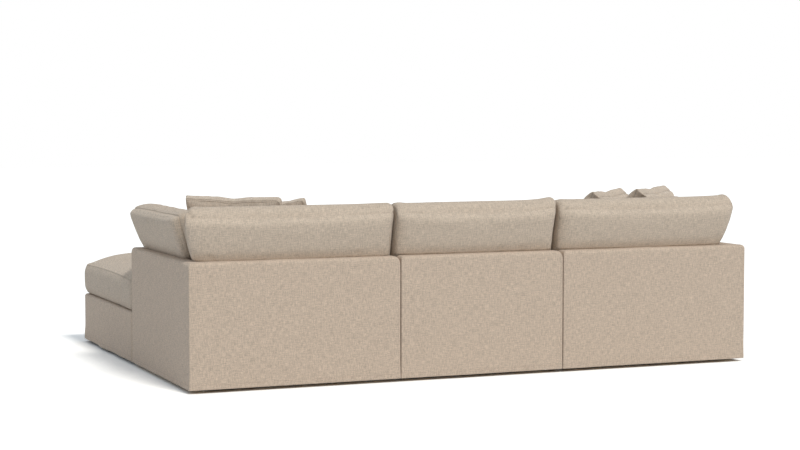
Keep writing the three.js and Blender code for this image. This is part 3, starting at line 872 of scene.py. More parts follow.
@dataclass(frozen=True)
class Crease:
    """A fold in a cushion's cover, from one place to another, where the cover faces a way."""

    start: Place
    end: Place
    facing: Place
    depth: float
    width: float

    def height(self, points: Array) -> Array:
        """How far the fold raises or sinks each point."""
        start, run = np.array(self.start), np.subtract(self.end, self.start)
        aside = np.cross(run, self.facing)
        away = np.abs((points - start) @ aside) / np.linalg.norm(aside)
        share = (points - start) @ run / (run @ run)
        near = np.linalg.norm(points - start - np.clip(share, 0, 1)[:, None] * run, axis=1)
        fade = bell(near, 0, 4 * self.width) * eased(share, -0.1, 0.2)
        fade = fade * (1 - eased(share, 0.8, 1.2))
        ridge = bell(away, 1.9 * self.width, self.width)
        return fade * self.depth * (0.6 * ridge - bell(away, 0, self.width))


@dataclass
class Cushion(ABC):
    """A cushion of two panels and the boxing between them."""

    name: str
    body: str
    seed: float
    panel_axis: int = field(default=1, init=False)
    cell: float = field(default=0.014, init=False)
    fill: float = field(default=0.75, init=False)
    slot: str = field(default="cushion_fabric", init=False)
    seam_height: float = field(default=1.0, init=False)
    unevenness: float = field(default=2.2 * MM, init=False)
    blowing: Blowing = field(default=Blowing(), init=False)
    creases: tuple[Crease, ...] = field(default=(), init=False)
    rounding: tuple[tuple[float, float], ...] = field(default=((0.03, 0.03),) * 3, init=False)

    @property
    @abstractmethod
    def lengths(self) -> tuple[float, float, float]:
        """Nominal lengths of the three edges of the cushion's box."""

    @abstractmethod
    def form(self, at: Array) -> Array:
        """Places of the points at three shares, 0 to 1, of the box's edges."""

    @abstractmethod
    def room(self, at: Array) -> Array:
        """How far the cover may stand out at three shares of the box's edges."""

    def hold(self, at: Array) -> Array:
        """How firmly the cover is held at three shares of the box's edges."""
        others = [i for i in range(3) if i != self.panel_axis]
        ends = np.minimum(at, 1 - at)
        seam = (ends[:, self.panel_axis] == 0) & (ends[:, others].min(axis=1) == 0)
        return np.where(seam, SEAM_HOLD, 0.0)

    def softened(self, at: Array) -> Array:
        """The shares, drawn in where the filling rounds the edges and corners of the box."""
        lengths = np.array(self.lengths)
        low, high = np.array(self.rounding).T
        place = at * lengths
        inner = np.clip(place, low, lengths - high)
        off = place - inner
        part = off / np.where(off < 0, low, high)
        size = np.maximum(np.linalg.norm(part, axis=1, keepdims=True), 1)
        return (inner + off / size) / lengths

    def lattice(self, cell: float, panel: Sequence[float], boxing: Sequence[float]) -> Lattice:
        """A lattice of cells of about one size, with close stations at the seams."""
        return Lattice(
            *(
                graded(length, cell, boxing if axis == self.panel_axis else panel)
                for axis, length in enumerate(self.lengths)
            )
        )

    def seam_relief(self, distance: Array, on_panel: Array) -> Array:
        """The pressed seam allowance beside each seam, and the fold of the seam itself."""
        fold = -SEAM_FOLD * bell(distance, 0, 1.6 * MM)
        allowance = eased(distance, 1.5 * MM, 3.5 * MM) * (1 - eased(distance, 8 * MM, 10.5 * MM))
        hollow = bell(distance, 12 * MM, 2.5 * MM)
        raised = ALLOWANCE * allowance - HOLLOW * hollow
        return self.seam_height * (fold + np.where(on_panel, raised, 0.4 * raised))

    def puckers(self, points: Array, distance: Array) -> Array:
        """Small folds that run out from the seams, and the filling's unevenness."""
        short = rough(points, PUCKER_SCALE, self.seed) * np.exp(-distance / PUCKER_REACH)
        near = 0.35 + 0.65 * np.exp(-distance / SLACK_REACH)
        long = rough(points, SLACK_SCALE, self.seed + 5) * near
        return PUCKER_DEPTH * short + self.unevenness * long

    def build(self, material: bpy.types.Material) -> bpy.types.Object:
        """Makes the piece in its fabric."""
        fine = self.lattice(self.cell, PANEL_EDGE, BOXING_EDGE)
        points = self.form(fine.at / fine.length)
        points = points + self.blown(fine)
        shell = Shell(points, *fine.faces())
        distance, on_panel = fine.edge_distance(self.panel_axis)
        room = self.room(fine.at / fine.length)
        relief = self.puckers(points, distance)
        for crease in self.creases:
            relief = relief + crease.height(points)
        shell.raise_by(np.minimum(relief, room) + self.seam_relief(distance, on_panel))
        # The seam value darkens the cloth in the folds of the seams: painted shade.
        made = shell.piece(self.name, material, bell(distance, 0, 2.2 * MM))
        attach(made, self.body)
        log.info("%s: %d faces", self.name, len(shell.quads))
        return made

    def blown(self, fine: Lattice) -> Array:
        """Moves of the fine lattice's points when the cover is blown up and held in its room."""
        coarse = self.lattice(self.blowing.cell, COARSE_EDGE, COARSE_EDGE)
        at = coarse.at / coarse.length
        start = self.form(at)
        moves = self.blowing.moves(coarse, start, self.hold(at))
        out = Shell(start, *coarse.faces()).normals()
        outward = np.sum(moves * out, axis=1)
        limit = np.clip(outward, -MOST_INWARD, self.room(at))
        aside = moves - outward[:, None] * out
        reach = np.linalg.norm(aside, axis=1, keepdims=True)
        aside = aside * np.minimum(1, MOST_ASIDE / np.maximum(reach, 1e-9))
        return fine.carried(coarse, aside + limit[:, None] * out)


@dataclass
class SeatCushion(Cushion):
    """A boxed seat cushion, crowned where no other cushion presses on it."""

    plan: Rectangle
    free: Rectangle
    crown: float
    open_front: bool = True
    bulge: float = 7 * MM
    draw_in: float = 5 * MM

    def __post_init__(self) -> None:
        """Sets what differs from the other cushions."""
        self.panel_axis = 2
        self.fill = 0.85
        self.cell = 0.017
        self.rounding = ((0.034, 0.020), (0.020, 0.060), (0.045, 0.030))

    @property
    def lengths(self) -> tuple[float, float, float]:
        """Width, depth and boxing."""
        plan = self.plan
        return plan.x1 - plan.x0, plan.y1 - plan.y0, SIZES.seat_boxing

    def form(self, at: Array) -> Array:
        """The crowned box, a little narrower between its corners."""
        plan, soft = self.plan, self.softened(at)
        x = lerp(plan.x0, plan.x1, soft[:, 0])
        y = lerp(plan.y0, plan.y1, soft[:, 1])
        across, along, up = (at * 2 - 1).T
        edge = self.bulge + self.draw_in
        draw_x = edge - self.bulge * hump(up) - self.draw_in * along**2
        draw_y = edge - self.bulge * hump(up) - self.draw_in * across**2
        top = SIZES.seat_seam + crown_height(self.free, self.crown, x, y)
        z = lerp(SIZES.seat_bottom, top, soft[:, 2])
        return stacked(x - across * draw_x, y - along * draw_y, z)

    def hold(self, at: Array) -> Array:
        """Firm underneath and where cushions press on it."""
        x = lerp(self.plan.x0, self.plan.x1, at[:, 0])
        y = lerp(self.plan.y0, self.plan.y1, at[:, 1])
        free = self.free
        pressed = (x < free.x0) | (x > free.x1) | (y > free.y1)
        firm = (at[:, 2] == 0) | ((at[:, 2] == 1) & pressed)
        return np.where(firm, 1.0, super().hold(at))

    def room(self, at: Array) -> Array:
        """Little room beside its neighbours, more over the free top and the open front."""
        top = 2.5 * MM * (at[:, 2] == 1)
        front = 5 * MM * ((at[:, 1] == 0) & self.open_front)
        return np.maximum(LEAST_ROOM, np.maximum(top, front))


CROWN_POWER = 6


def crown_height(free: Rectangle, crown: float, x: Array, y: Array) -> Array:
    """How far a seat's crown stands over its seam: in full amid its free part, 0 outside."""
    across = np.clip((2 * x - free.x0 - free.x1) / (free.x1 - free.x0), -1, 1)
    along = np.clip((2 * y - free.y0 - free.y1) / (free.y1 - free.y0), -1, 1)
    return crown * hump(across, CROWN_POWER) * hump(along, CROWN_POWER)


@dataclass(frozen=True)
class Lean:
    """The section of a cushion that leans on a wall."""

    lean: float
    top_tilt: float
    top_seam: float
    boxing: float
    front_crown: float
    rear_crown: float

    def rear_seam(self, z: Array | float) -> Array | float:
        """How far in from the wall's outer face the rear seams lie at a height."""
        radius = SIZES.edge_radius
        touch = (radius + SIZES.fit - radius * math.sin(self.lean)) / math.cos(self.lean)
        return SIZES.wall - radius + touch - (z - SIZES.wall_top) * math.tan(self.lean)

    def front_crown_at(self, z: Array | float) -> Array | float:
        """How far in the crown of the front panel lies at a height."""
        return self.rear_seam(z) + (self.boxing + self.front_crown) / math.cos(self.lean)

    def strip(self) -> float:
        """How wide a strip of the seat the cushion presses on, from the wall's outer face."""
        return self.front_crown_at(SIZES.leaning_bottom) + SIZES.cushion_gap


BACK_LEAN = Lean(math.radians(15), math.radians(15), 0.852, 0.150, 0.032, 0.028)
SIDE_LEAN = Lean(math.radians(20), math.radians(2), 0.856, 0.130, 0.030, 0.034)

End = Callable[[Array, Array, Array], Array]


@dataclass
class LeaningCushion(Cushion):
    """A back or side cushion, which leans on a wall and lies a little over its top."""

    section: Lean
    run: float
    start: End
    end: End
    drops: tuple[float, float]
    put: Callable[[Array, Array, Array], Array]
    rounded_ends: tuple[float, float] = (0.022, 0.022)
    rounded_sides: tuple[float, float] = (0.050, 0.048)
    seams_round: int = 0
    top_crown: float = 26 * MM
    end_bulge: float = 7 * MM
    draw_in: float = 6 * MM
    front_power: float = 2
    rear_power: float = 16
    rear_power_high: float = 16
    foot_power: float = 150
    foot_share: float = 0.8
    rise_power: float = 9
    top_power: float = 24
    drop_power: int = 6
    ear_power: int = 40
    push_power: int = 8
    roll: float = 2
    start_drawn: float = 1.0
    ears: tuple[float, float] = (0.0, 0.0)
    pushed: tuple[float, float] = (0.0, 0.0)
    end_room: tuple[float, float] = (0.0, 0.0)

    def __post_init__(self) -> None:
        """Sets what differs from the other cushions."""
        side, top = self.rounded_sides
        self.rounding = (self.rounded_ends, (side, side), (0.012, top))
        self.panel_axis = self.seams_round

    @property
    def lengths(self) -> tuple[float, float, float]:
        """Run along the wall, boxing and height."""
        return self.run, self.section.boxing, self.section.top_seam - SIZES.leaning_bottom

    @property
    def bend(self) -> float:
        """Share of the height at which the cushion comes over the wall."""
        return (SIZES.spill - SIZES.leaning_bottom) / self.lengths[2]

    def lattice(self, cell: float, panel: Sequence[float], boxing: Sequence[float]) -> Lattice:
        """A lattice that has, where it is fine, a line at the wall's top and one just over it."""
        even = super().lattice(cell, panel, boxing)
        if cell > 0.02:
            return even
        *others, up = even.stations
        top = self.bend * self.lengths[2]
        up = up[np.abs(up - top - 1 * MM) > 5 * MM]
        return Lattice(*others, np.sort(np.append(up, (top, top + 2 * MM))))

    def form(self, at: Array) -> Array:
        """The leaning box, with its crowns and its ends."""
        s, soft = self.section, self.softened(at)
        across, forward, share = soft[:, 0] * 2 - 1, 1 - soft[:, 1], soft[:, 2]
        bend = self.bend
        rise = np.clip((share - bend) / (1 - bend), 0, 1)
        low_z = lerp(SIZES.leaning_bottom, SIZES.spill, np.clip(share / bend, 0, 1))
        step = 1 / math.cos(s.lean - s.top_tilt)
        depth = forward * s.boxing
        base_in = s.rear_seam(low_z) + depth / math.cos(s.lean)
        top_in = s.rear_seam(s.top_seam) + depth * math.cos(s.top_tilt) * step
        top_z = s.top_seam + depth * math.sin(s.top_tilt) * step
        seam_in = lerp(base_in, top_in, rise)
        seam_z = lerp(low_z, top_z, rise)
        wide, through, up = at[:, 0] * 2 - 1, at[:, 1] * 2 - 1, at[:, 2] * 2 - 1
        risen = np.clip((at[:, 2] - bend) / (1 - bend), 0, 1)
        front = s.front_crown * hump(wide, self.front_power) * hump(up) ** self.roll
        height = 2 * risen - 1
        low_over = lerp(hump(height), hump(height, self.foot_power), self.foot_share)
        over = np.where(risen < 0.5, low_over, hump(height, self.rise_power) ** self.roll)
        rear = s.rear_crown * over
        rear = rear * hump(wide, np.where(wide < 0, self.rear_power, self.rear_power_high))
        bow = (1 - at[:, 1]) * front - at[:, 1] * rear
        top_bow = (at[:, 2] == 1) * self.top_crown * hump(wide, self.top_power)
        top_bow = top_bow * hump(through) ** self.roll
        aside = np.abs(across)
        drop = rise * np.where(across < 0, *self.drops) * aside**self.drop_power
        drop = drop - rise * np.where(across < 0, *self.ears) * aside**self.ear_power
        drawn = self.end_bulge * through**2 + self.draw_in * hump(up) * np.abs(through)
        drawn = drawn * np.where(wide < 0, self.start_drawn, 1)
        low, high = self.start(seam_z, rise, forward), self.end(seam_z, rise, forward)
        along = (low + high + across * (high - low - 2 * drawn)) / 2
        pushed = hump(through) * np.where(across < 0, *self.pushed) * aside**self.push_power
        along = along + pushed
        inward = seam_in + bow * math.cos(s.lean) - top_bow * math.sin(s.top_tilt)
        z = seam_z - drop + bow * math.sin(s.lean) + top_bow * math.cos(s.top_tilt)
        return self.put(along, inward, z)

    def hold(self, at: Array) -> Array:
        """Firm at its foot and where it touches the wall."""
        wall = (at[:, 1] == 1) & (at[:, 2] < 0.48)
        return np.where((at[:, 2] == 0) | wall, 1.0, super().hold(at))

    def room(self, at: Array) -> Array:
        """Room over its top and on its front and upper rear panels."""
        ends = np.minimum(at[:, 0], 1 - at[:, 0])
        inside = eased(ends, 0, 0.08)
        top = 5 * MM * (at[:, 2] == 1)
        front = 7 * MM * (at[:, 1] == 0) * inside
        rear = 4 * MM * (at[:, 1] == 1) * eased(at[:, 2], 0.5, 0.6)
        low, high = self.end_room
        over = eased(at[:, 2], 0.5, 0.62)
        end = over * ((at[:, 0] == 0) * low + (at[:, 0] == 1) * high)
        return np.maximum.reduce([np.full(len(at), LEAST_ROOM), top, front, rear, end])


@dataclass(frozen=True)
class ArmEnd:
    """How the end of a back cushion lies over its arm."""

    low: float
    high: float
    taper: float
    nose: float = 0.006

    def spill(self, z: Array, rise: Array) -> Array:
        """How far the end stands out past the arm's inner face, at a height and rise."""
        radius = SIZES.edge_radius
        over = lerp(self.low, self.high, 1 - (1 - rise) ** 2)
        on_edge = np.clip((z - (SIZES.wall_top - radius)) / radius, 0, 1)
        rounded = radius * (1 - np.sqrt(1 - on_edge**2))
        above = np.clip((z - SIZES.spill) / self.nose, 0, 1)
        nosed = np.sqrt(1 - (1 - above) ** 2)
        return np.minimum(over, rounded + np.maximum(over - radius, 0) * nosed)


LEFT_END = ArmEnd(0.058, 0.108, 0.085)
RIGHT_END = ArmEnd(0.002, 0.054, 0.0)
BACK_ENDS = {Arm.LEFT: (0.014, 0.008), Arm.NONE: (0.011, 0.018), Arm.RIGHT: (0.050, 0.018)}
BACK_DROPS = {
    Arm.LEFT: (-4 * MM, -6 * MM),
    Arm.NONE: (-18 * MM, -3 * MM),
    Arm.RIGHT: (-12 * MM, -2 * MM),
}
BACK_EARS = {Arm.LEFT: (12 * MM, 0), Arm.NONE: (8 * MM, 10 * MM), Arm.RIGHT: (0, 0)}
BACK_CREASES = (
    Crease((1.530, 1.015, 0.885), (1.522, 1.068, 0.840), (0.6, 0.57, 0.56), 9 * MM, 7 * MM),
    Crease((1.505, 1.06, 0.87), (1.50, 1.07, 0.79), (0, 1, 0.3), 2 * MM, 10 * MM),
)
BACK_SLIDE = 0.018
BACK_PUSHED = -0.014
SLIDE_START, SLIDE_END = 0.46, 0.60
SIDE_WEDGE = 0.005
SIDE_FRONT_INSET = 0.020


@dataclass(frozen=True)
class PillowPlace:
    """Where a pillow's top rear edge lies: from its arm, from the rear and up.

    It is turned by degrees, tilted in its own plane, and droops between its upper corners.
    """

    from_arm: float
    from_rear: float
    top: float
    turn: float
    tilt: float = 0.0
    droop: float = 0.003
    width: float = 0.530


@dataclass
class Pillow(Cushion):
    """A square scatter pillow with a narrow gusset, leaning back with its foot on the seat."""

    arm: Arm
    place: PillowPlace
    seat: Rectangle
    free: Rectangle
    width: float = 0.530
    gusset: float = 0.044
    crown: float = 0.046
    bulge: float = 0.006
    chop: float = 0.008
    chop_width: float = 0.060
    lean: float = math.radians(25)
    foot_gap: float = 0.0008
    foot_steps: int = 8
    tuck: float = 0.026
    tuck_reach: float = 0.060
    rear_dip: float = 0.012

    def __post_init__(self) -> None:
        """Sets what differs from the other cushions."""
        self.cell = 0.0105
        self.fill = 0.65
        self.slot = "pillow_fabric"
        self.seam_height = 1.2 if self.arm is Arm.LEFT else 0.5
        near, top = (0.032, 0.022) if self.arm is Arm.LEFT else (0.016, 0.012)
        self.rounding = ((near, 0.010), (0.010, 0.010), (0.012, top))
        self.blowing = Blowing(pressure=5.0, slack=0.02, stiffness=12, bending=0.8, cell=0.026)

    @property
    def lengths(self) -> tuple[float, float, float]:
        """Width, gusset and height."""
        return self.width, self.gusset, self.width

    def _placed(self, along: Array, depth: Array, down: Array) -> Array:
        """Points from a place along the top edge, a depth and a way down the lean."""
        side = self.arm.value
        facing = math.radians(self.place.turn)
        forward = (math.sin(facing), math.cos(facing))
        half = SIZES.corner_width / 2
        middle = (self.seat.x0 + self.seat.x1) / 2 + side * (half - self.place.from_arm)
        inward = depth * math.cos(self.lean) + down * math.sin(self.lean)
        x = middle - side * (inward * forward[0] - along * forward[1])
        y = SIZES.rear - (self.place.from_rear + inward * forward[1] + along * forward[0])
        z = self.place.top + depth * math.sin(self.lean) - down * math.cos(self.lean)
        return stacked(x, y, z)

    def _foot(self, along: Array, depth: Array) -> Array:
        """How far down the lean each line meets the seat, found by stepping towards it."""
        down = np.full(len(along), self.width)
        for _ in range(self.foot_steps):
            x, y, z = self._placed(along, depth, down).T
            top = SIZES.seat_seam + crown_height(self.free, SIZES.seat_crown, x, y)
            down = down + (z - top - self.foot_gap) / math.cos(self.lean)
        return down

    def form(self, at: Array) -> Array:
        """The leaning pillow, dented at its top and settled at its foot."""
        soft = self.softened(at)
        across, up = at[:, 0] * 2 - 1, at[:, 2] * 2 - 1
        front = at[:, 1] < 0.5
        fat = self.arm is Arm.RIGHT
        rise = hump(up, 3) if not fat else np.where(front, hump(up, 5), hump(up, 24))
        crown = self.crown * hump(across, 40 if fat else 6) * rise * (1 - 2 * at[:, 1])
        below = (1 - up) / 2 * self.width
        tucked = self.tuck * (1 - np.exp(-below / self.tuck_reach)) if fat else 0.0
        shift = 0.0 if fat else (0.012 - 0.016 * at[:, 1]) * np.maximum(0, across) ** 8
        half = self.place.width / 2 + self.bulge * hump(up) - tucked
        along = (soft[:, 0] * 2 - 1) * half + shift
        dent = self.chop * bell(along, 0, self.chop_width)
        sunk = np.maximum(0, up) * (dent + self.place.droop * hump(across))
        depth = (1 - soft[:, 1]) * self.gusset
        if fat:
            sunk = sunk + self.rear_dip * at[:, 1] * np.maximum(0, up) ** 8
        sunk = sunk + along * self.place.tilt * soft[:, 2]
        down = (1 - soft[:, 2]) * self._foot(along, depth) + sunk
        return self._placed(along, depth + crown, down)

    def hold(self, at: Array) -> Array:
        """Firm at its foot."""
        return np.where(at[:, 2] < 0.03, 1.0, super().hold(at) * 0.9)

    def room(self, at: Array) -> Array:
        """Room on both faces, away from the foot."""
        return LEAST_ROOM + 6 * MM * eased(at[:, 2], 0.05, 0.3) * (np.abs(at[:, 1] * 2 - 1) == 1)


# ---------------------------------------------------------------------------------------------
# Upholstered bases and walls

HEM_SAG = 3 * MM
HEM_LEVEL, STITCH_LEVEL, EDGE_LEVELS = 4, 10, 8
LEVEL_CELL = 0.016
SHOULDER_SINK = 0.75
SIDE_EDGE = tuple(v * MM for v in (0, 1.5, 3, 5.5, 8, 10, 12.5, 17, 26))
CORNER_STEPS = 6


class Plan:
    """A closed plan outline with rounded corners, counterclockwise, that can be moved inwards.

    Its first side and the side half way round are the ends of a strip; the chains of sides
    between them are its two long edges.
    """

    def __init__(self, corners: Sequence[tuple[float, float]], radius: float, cell: float) -> None:
        """Takes the corners and their rounding, and spaces the points about a cell apart."""
        self.corners = [np.array(corner) for corner in corners]
        self.radius = radius
        count = len(corners)
        sides = np.roll(self.corners, -1, axis=0) - self.corners
        runs = [float(np.linalg.norm(side)) for side in sides]
        self.ways = [side / np.linalg.norm(side) for side in sides]
        half = count // 2
        for i in range(1, half):
            longest = max(runs[i], runs[count - i])
            runs[i] = runs[count - i] = longest
        self.shares = [self._shares(run - 2 * radius, cell) for run in runs]

    @staticmethod
    def _shares(run: float, cell: float) -> Array:
        """Shares of a side's straight run at which its inner points lie."""
        edge = SIDE_EDGE if run > 4 * SIDE_EDGE[-1] else (0.0,)
        return graded(run, cell, edge)[1:-1] / run

    def loop(self, inset: float) -> Array:
        """The outline's points, moved inwards by an inset."""
        radius = max(self.radius - inset * 0.5, 1 * MM)
        moved = []
        for i, corner in enumerate(self.corners):
            before, after = self.ways[i - 1], self.ways[i]
            inward = np.array([-before[1], before[0]]) + np.array([-after[1], after[0]])
            moved.append(corner + inset * inward)
        points = []
        for i, corner in enumerate(moved):
            back, on = -self.ways[i - 1], self.ways[i]
            centre = corner + (back + on) * radius
            for step in range(CORNER_STEPS + 1):
                turn = step / CORNER_STEPS * math.pi / 2
                swing = on * radius * math.cos(turn)
                points.append(centre - swing - back * radius * math.sin(turn))
            begin = corner + on * radius
            finish = moved[(i + 1) % len(moved)] - on * radius
            points.extend(begin + (finish - begin) * share for share in self.shares[i])
        return np.array(points)

    def blocks(self) -> tuple[list[int], list[int], list[int], list[int]]:
        """Point numbers of the first end, one long edge, the other end and the other edge."""
        corner = CORNER_STEPS + 1
        starts = [0]
        for shares in self.shares:
            starts.append(starts[-1] + corner + len(shares))
        half = len(self.corners) // 2
        first = list(range(0, starts[1] + corner))
        near = list(range(starts[1] + corner, starts[half]))
        other = list(range(starts[half], starts[half + 1] + corner))
        far = list(range(starts[half + 1] + corner, starts[-1]))
        return first, near, other, far

    def corner_distance(self) -> Array:
        """How far along the outline each point is from the nearest corner's rounding."""
        loop = self.loop(0)
        step = steps_round(loop)
        place = running(step)[:-1]
        total = step.sum()
        marks, start = [], 0
        for shares in self.shares:
            marks.extend(place[start : start + CORNER_STEPS + 1])
            start += CORNER_STEPS + 1 + len(shares)
        gaps = np.abs(place[:, None] - np.array(marks)[None, :])
        return np.minimum(gaps, total - gaps).min(axis=1)


@dataclass
class Cover:
    """A fabric cover over a base or a wall: a shell that is open below, with a hem."""

    name: str
    body: str
    plan: Plan
    top: float
    edge_radius: float
    seed: float
    nodes: tuple[str, ...]
    hem_height: float = 0.024
    flare: float = 3.5 * MM
    sag: float = 3 * MM
    shoulders: tuple[float, float] = (0.0, 0.0)
    stitch_line: list[list[Place]] = field(default_factory=list, init=False)

    def _levels(self) -> list[tuple[float, float]]:
        """Insets and heights of the outline's levels, from the inside over the hem to the top."""
        s = SIZES
        hem = s.hem - HEM_SAG
        stitch = hem + self.hem_height
        levels = [(s.cover, self.top - s.cover), (s.cover, hem + 2 * MM), (s.cover - 2 * MM, hem)]
        levels += [(2.5 * MM, hem), (0.6 * MM, hem + 0.6 * MM), (0.0, hem + 2.5 * MM)]
        levels += [(0.1 * MM, hem + 9 * MM), (0.1 * MM, stitch - 7 * MM)]
        levels += [(0.2 * MM, stitch - 3 * MM), (0.35 * MM, stitch - 1 * MM), (0.5 * MM, stitch)]
        levels += [(0.4 * MM, stitch + 1 * MM), (0.3 * MM, stitch + 2.2 * MM)]
        first = stitch + 6 * MM
        last = self.top - self.edge_radius
        count = round((last - first) / LEVEL_CELL)
        levels += [(0.3 * MM, lerp(first, last, i / count)) for i in range(count)]
        for step in range(EDGE_LEVELS):
            turn = step / (EDGE_LEVELS - 1) * math.pi / 2
            inset = 0.3 * MM + (self.edge_radius - 0.3 * MM) * (1 - math.cos(turn))
            levels.append((inset, last + self.edge_radius * math.sin(turn)))
        return levels

    def _cap(self, loop: Array, blocks: tuple[list[int], ...]) -> tuple[Array, Array]:
        """Inner points of a flat cap over a loop, and the point numbers of its whole grid."""
        first, near, other, far = blocks
        rim = loop[first]
        run = np.linalg.norm(np.diff(rim, axis=0), axis=1)
        shares = running(run) / run.sum()
        rows = [first]
        inner = []
        for outer, inside in zip(reversed(far), near):
            row = [outer]
            for share in shares[1:-1]:
                inner.append(lerp(loop[outer], loop[inside], share))
                row.append(len(loop) + len(inner) - 1)
            rows.append(row + [inside])
        rows.append(other[::-1])
        return np.array(inner), np.array(rows)

    def shell(self) -> tuple[Shell, int]:
        """The closed surface, and how many points each level has."""
        levels = self._levels()
        loops = [self.plan.loop(inset) for inset, _ in levels]
        count = len(loops[0])
        points = [np.column_stack([loop, np.full(count, z)]) for loop, (_, z) in zip(loops, levels)]
        outline = loops[HEM_LEVEL]
        u = running(steps_round(outline))
        v = running([math.dist(a, b) for a, b in zip(levels, levels[1:])])
        ring = np.arange(count)
        following = np.roll(ring, -1)
        quads, cloth = [], []
        for i in range(len(levels) - 1):
            low, high = i * count, (i + 1) * count
            quads.append(np.stack([low + ring, low + following, high + following, high + ring], 1))
            square = [(u[:-1], v[i]), (u[1:], v[i]), (u[1:], v[i + 1]), (u[:-1], v[i + 1])]
            cloth.append(np.stack([np.stack(np.broadcast_arrays(*c), 1) for c in square], 1))
        blocks = self.plan.blocks()
        total = len(levels) * count
        for level, turned in ((0, False), (len(levels) - 1, True)):
            inner, rows = self._cap(loops[level], blocks)
            number = np.where(rows < count, rows + level * count, rows - count + total)
            total += len(inner)
            points.append(np.column_stack([inner, np.full(len(inner), levels[level][1])]))
            place = np.concatenate([loops[level], inner])[rows] + CAP_SHIFT
            quads.append(squares(number, turned))
            cloth.append(squares(place, turned))
        shell = Shell(np.concatenate(points), np.concatenate(quads), np.concatenate(cloth))
        return shell, count

    def build(self, material: bpy.types.Material) -> bpy.types.Object:
        """Makes the cover in its fabric, and keeps the hem's line for its stitches."""
        levels = self._levels()
        shell, count = self.shell()
        points = shell.points
        outside = np.ones(len(points))
        outside[: HEM_LEVEL * count] = 0
        caps = len(levels) * count
        outside[caps : caps + (len(points) - caps) // 2] = 0
        corner = np.tile(self.plan.corner_distance(), len(levels))
        corner = np.concatenate([corner, np.full(len(points) - len(corner), 1.0)])
        height = points[:, 2]
        pressed = 0.5 * MM * eased(corner, 0.5 * MM, 2.5 * MM)
        pressed = pressed * (1 - eased(corner, 7 * MM, 9 * MM))
        seam = pressed - 0.4 * MM * bell(corner, 10.5 * MM, 2 * MM) - 0.5 * MM
        waves = rough(points, (5, 5, 2.2), self.seed)
        ripples = rough(points, (17, 17, 6), self.seed + 3)
        ripples = ripples * (0.35 + 0.65 * bell(height, 0.03, 0.09))
        relief = seam + 1.1 * MM * (waves - 0.8) + 0.5 * MM * (ripples - 0.8)
        shell.raise_by(relief * outside)
        shell.points[:, 2] -= self._shoulder_drop(points) * outside
        out = shell.normals()
        free = self._free(shell.points, out) * outside
        foot = (1 - eased(height, SIZES.hem, SIZES.hem + 0.09)) * free
        sway = 0.45 + 0.55 * rough(points, (6, 6, 0.1), self.seed + 9)
        shell.points[:, :2] += out[:, :2] * (self.flare * foot * sway)[:, None]
        shell.points[:, 2] += self.sag * rough(points, (5, 5, 0.1), self.seed + 12) * foot
        line = slice(STITCH_LEVEL * count, (STITCH_LEVEL + 1) * count)
        self._keep_stitches(shell.points[line], out[line])
        # The fold value darkens the cloth along the fold of each corner seam: painted shade.
        fold = bell(corner, 10.5 * MM, 1.6 * MM) * 0.35
        made = shell.piece(self.name, material, fold * outside)
        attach(made, self.body)
        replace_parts(made, *self.nodes)
        log.info("%s: %d faces", self.name, len(shell.quads))
        return made

    def _shoulder_drop(self, points: Array) -> Array:
        """How far the cover sinks where its top edge meets a rounded upper corner."""
        x = [corner[0] for corner in self.plan.corners]
        drop = np.zeros(len(points))
        for width, away in zip(self.shoulders, (points[:, 0] - min(x), max(x) - points[:, 0])):
            if width > 0:
                part = np.clip(1 - away / width, 0, 1)
                drop += SHOULDER_SINK * width * (1 - np.sqrt(1 - part**2))
        return drop * eased(points[:, 2], self.top - 0.09, self.top)

    @staticmethod
    def _free(points: Array, out: Array) -> Array:
        """1 at each point that faces open floor, else 0, softened by its facing."""
        flat = np.linalg.norm(out[:, :2], axis=1)
        way = out[:, :2] / np.maximum(flat, 1e-9)[:, None]
        free = [is_free(x, y, w) for (x, y), w in zip(points[:, :2], way)]
        return np.array(free, float) * eased(flat, 0.3, 0.8)

    def _keep_stitches(self, line: Array, out: Array) -> None:
        """Keeps the runs of the hem's line that face open floor."""
        free = self._free(line, out) > 0.5
        run: list[Place] = []
        for i in range(len(line) + 1):
            j = i % len(line)
            if free[j] and i < len(line):
                run.append(tuple(line[j] + out[j] * 0.2 * MM))
            elif run:
                if len(run) > 2:
                    self.stitch_line.append(run)
                run = []


# ---------------------------------------------------------------------------------------------
# What repeats, by Geometry Nodes


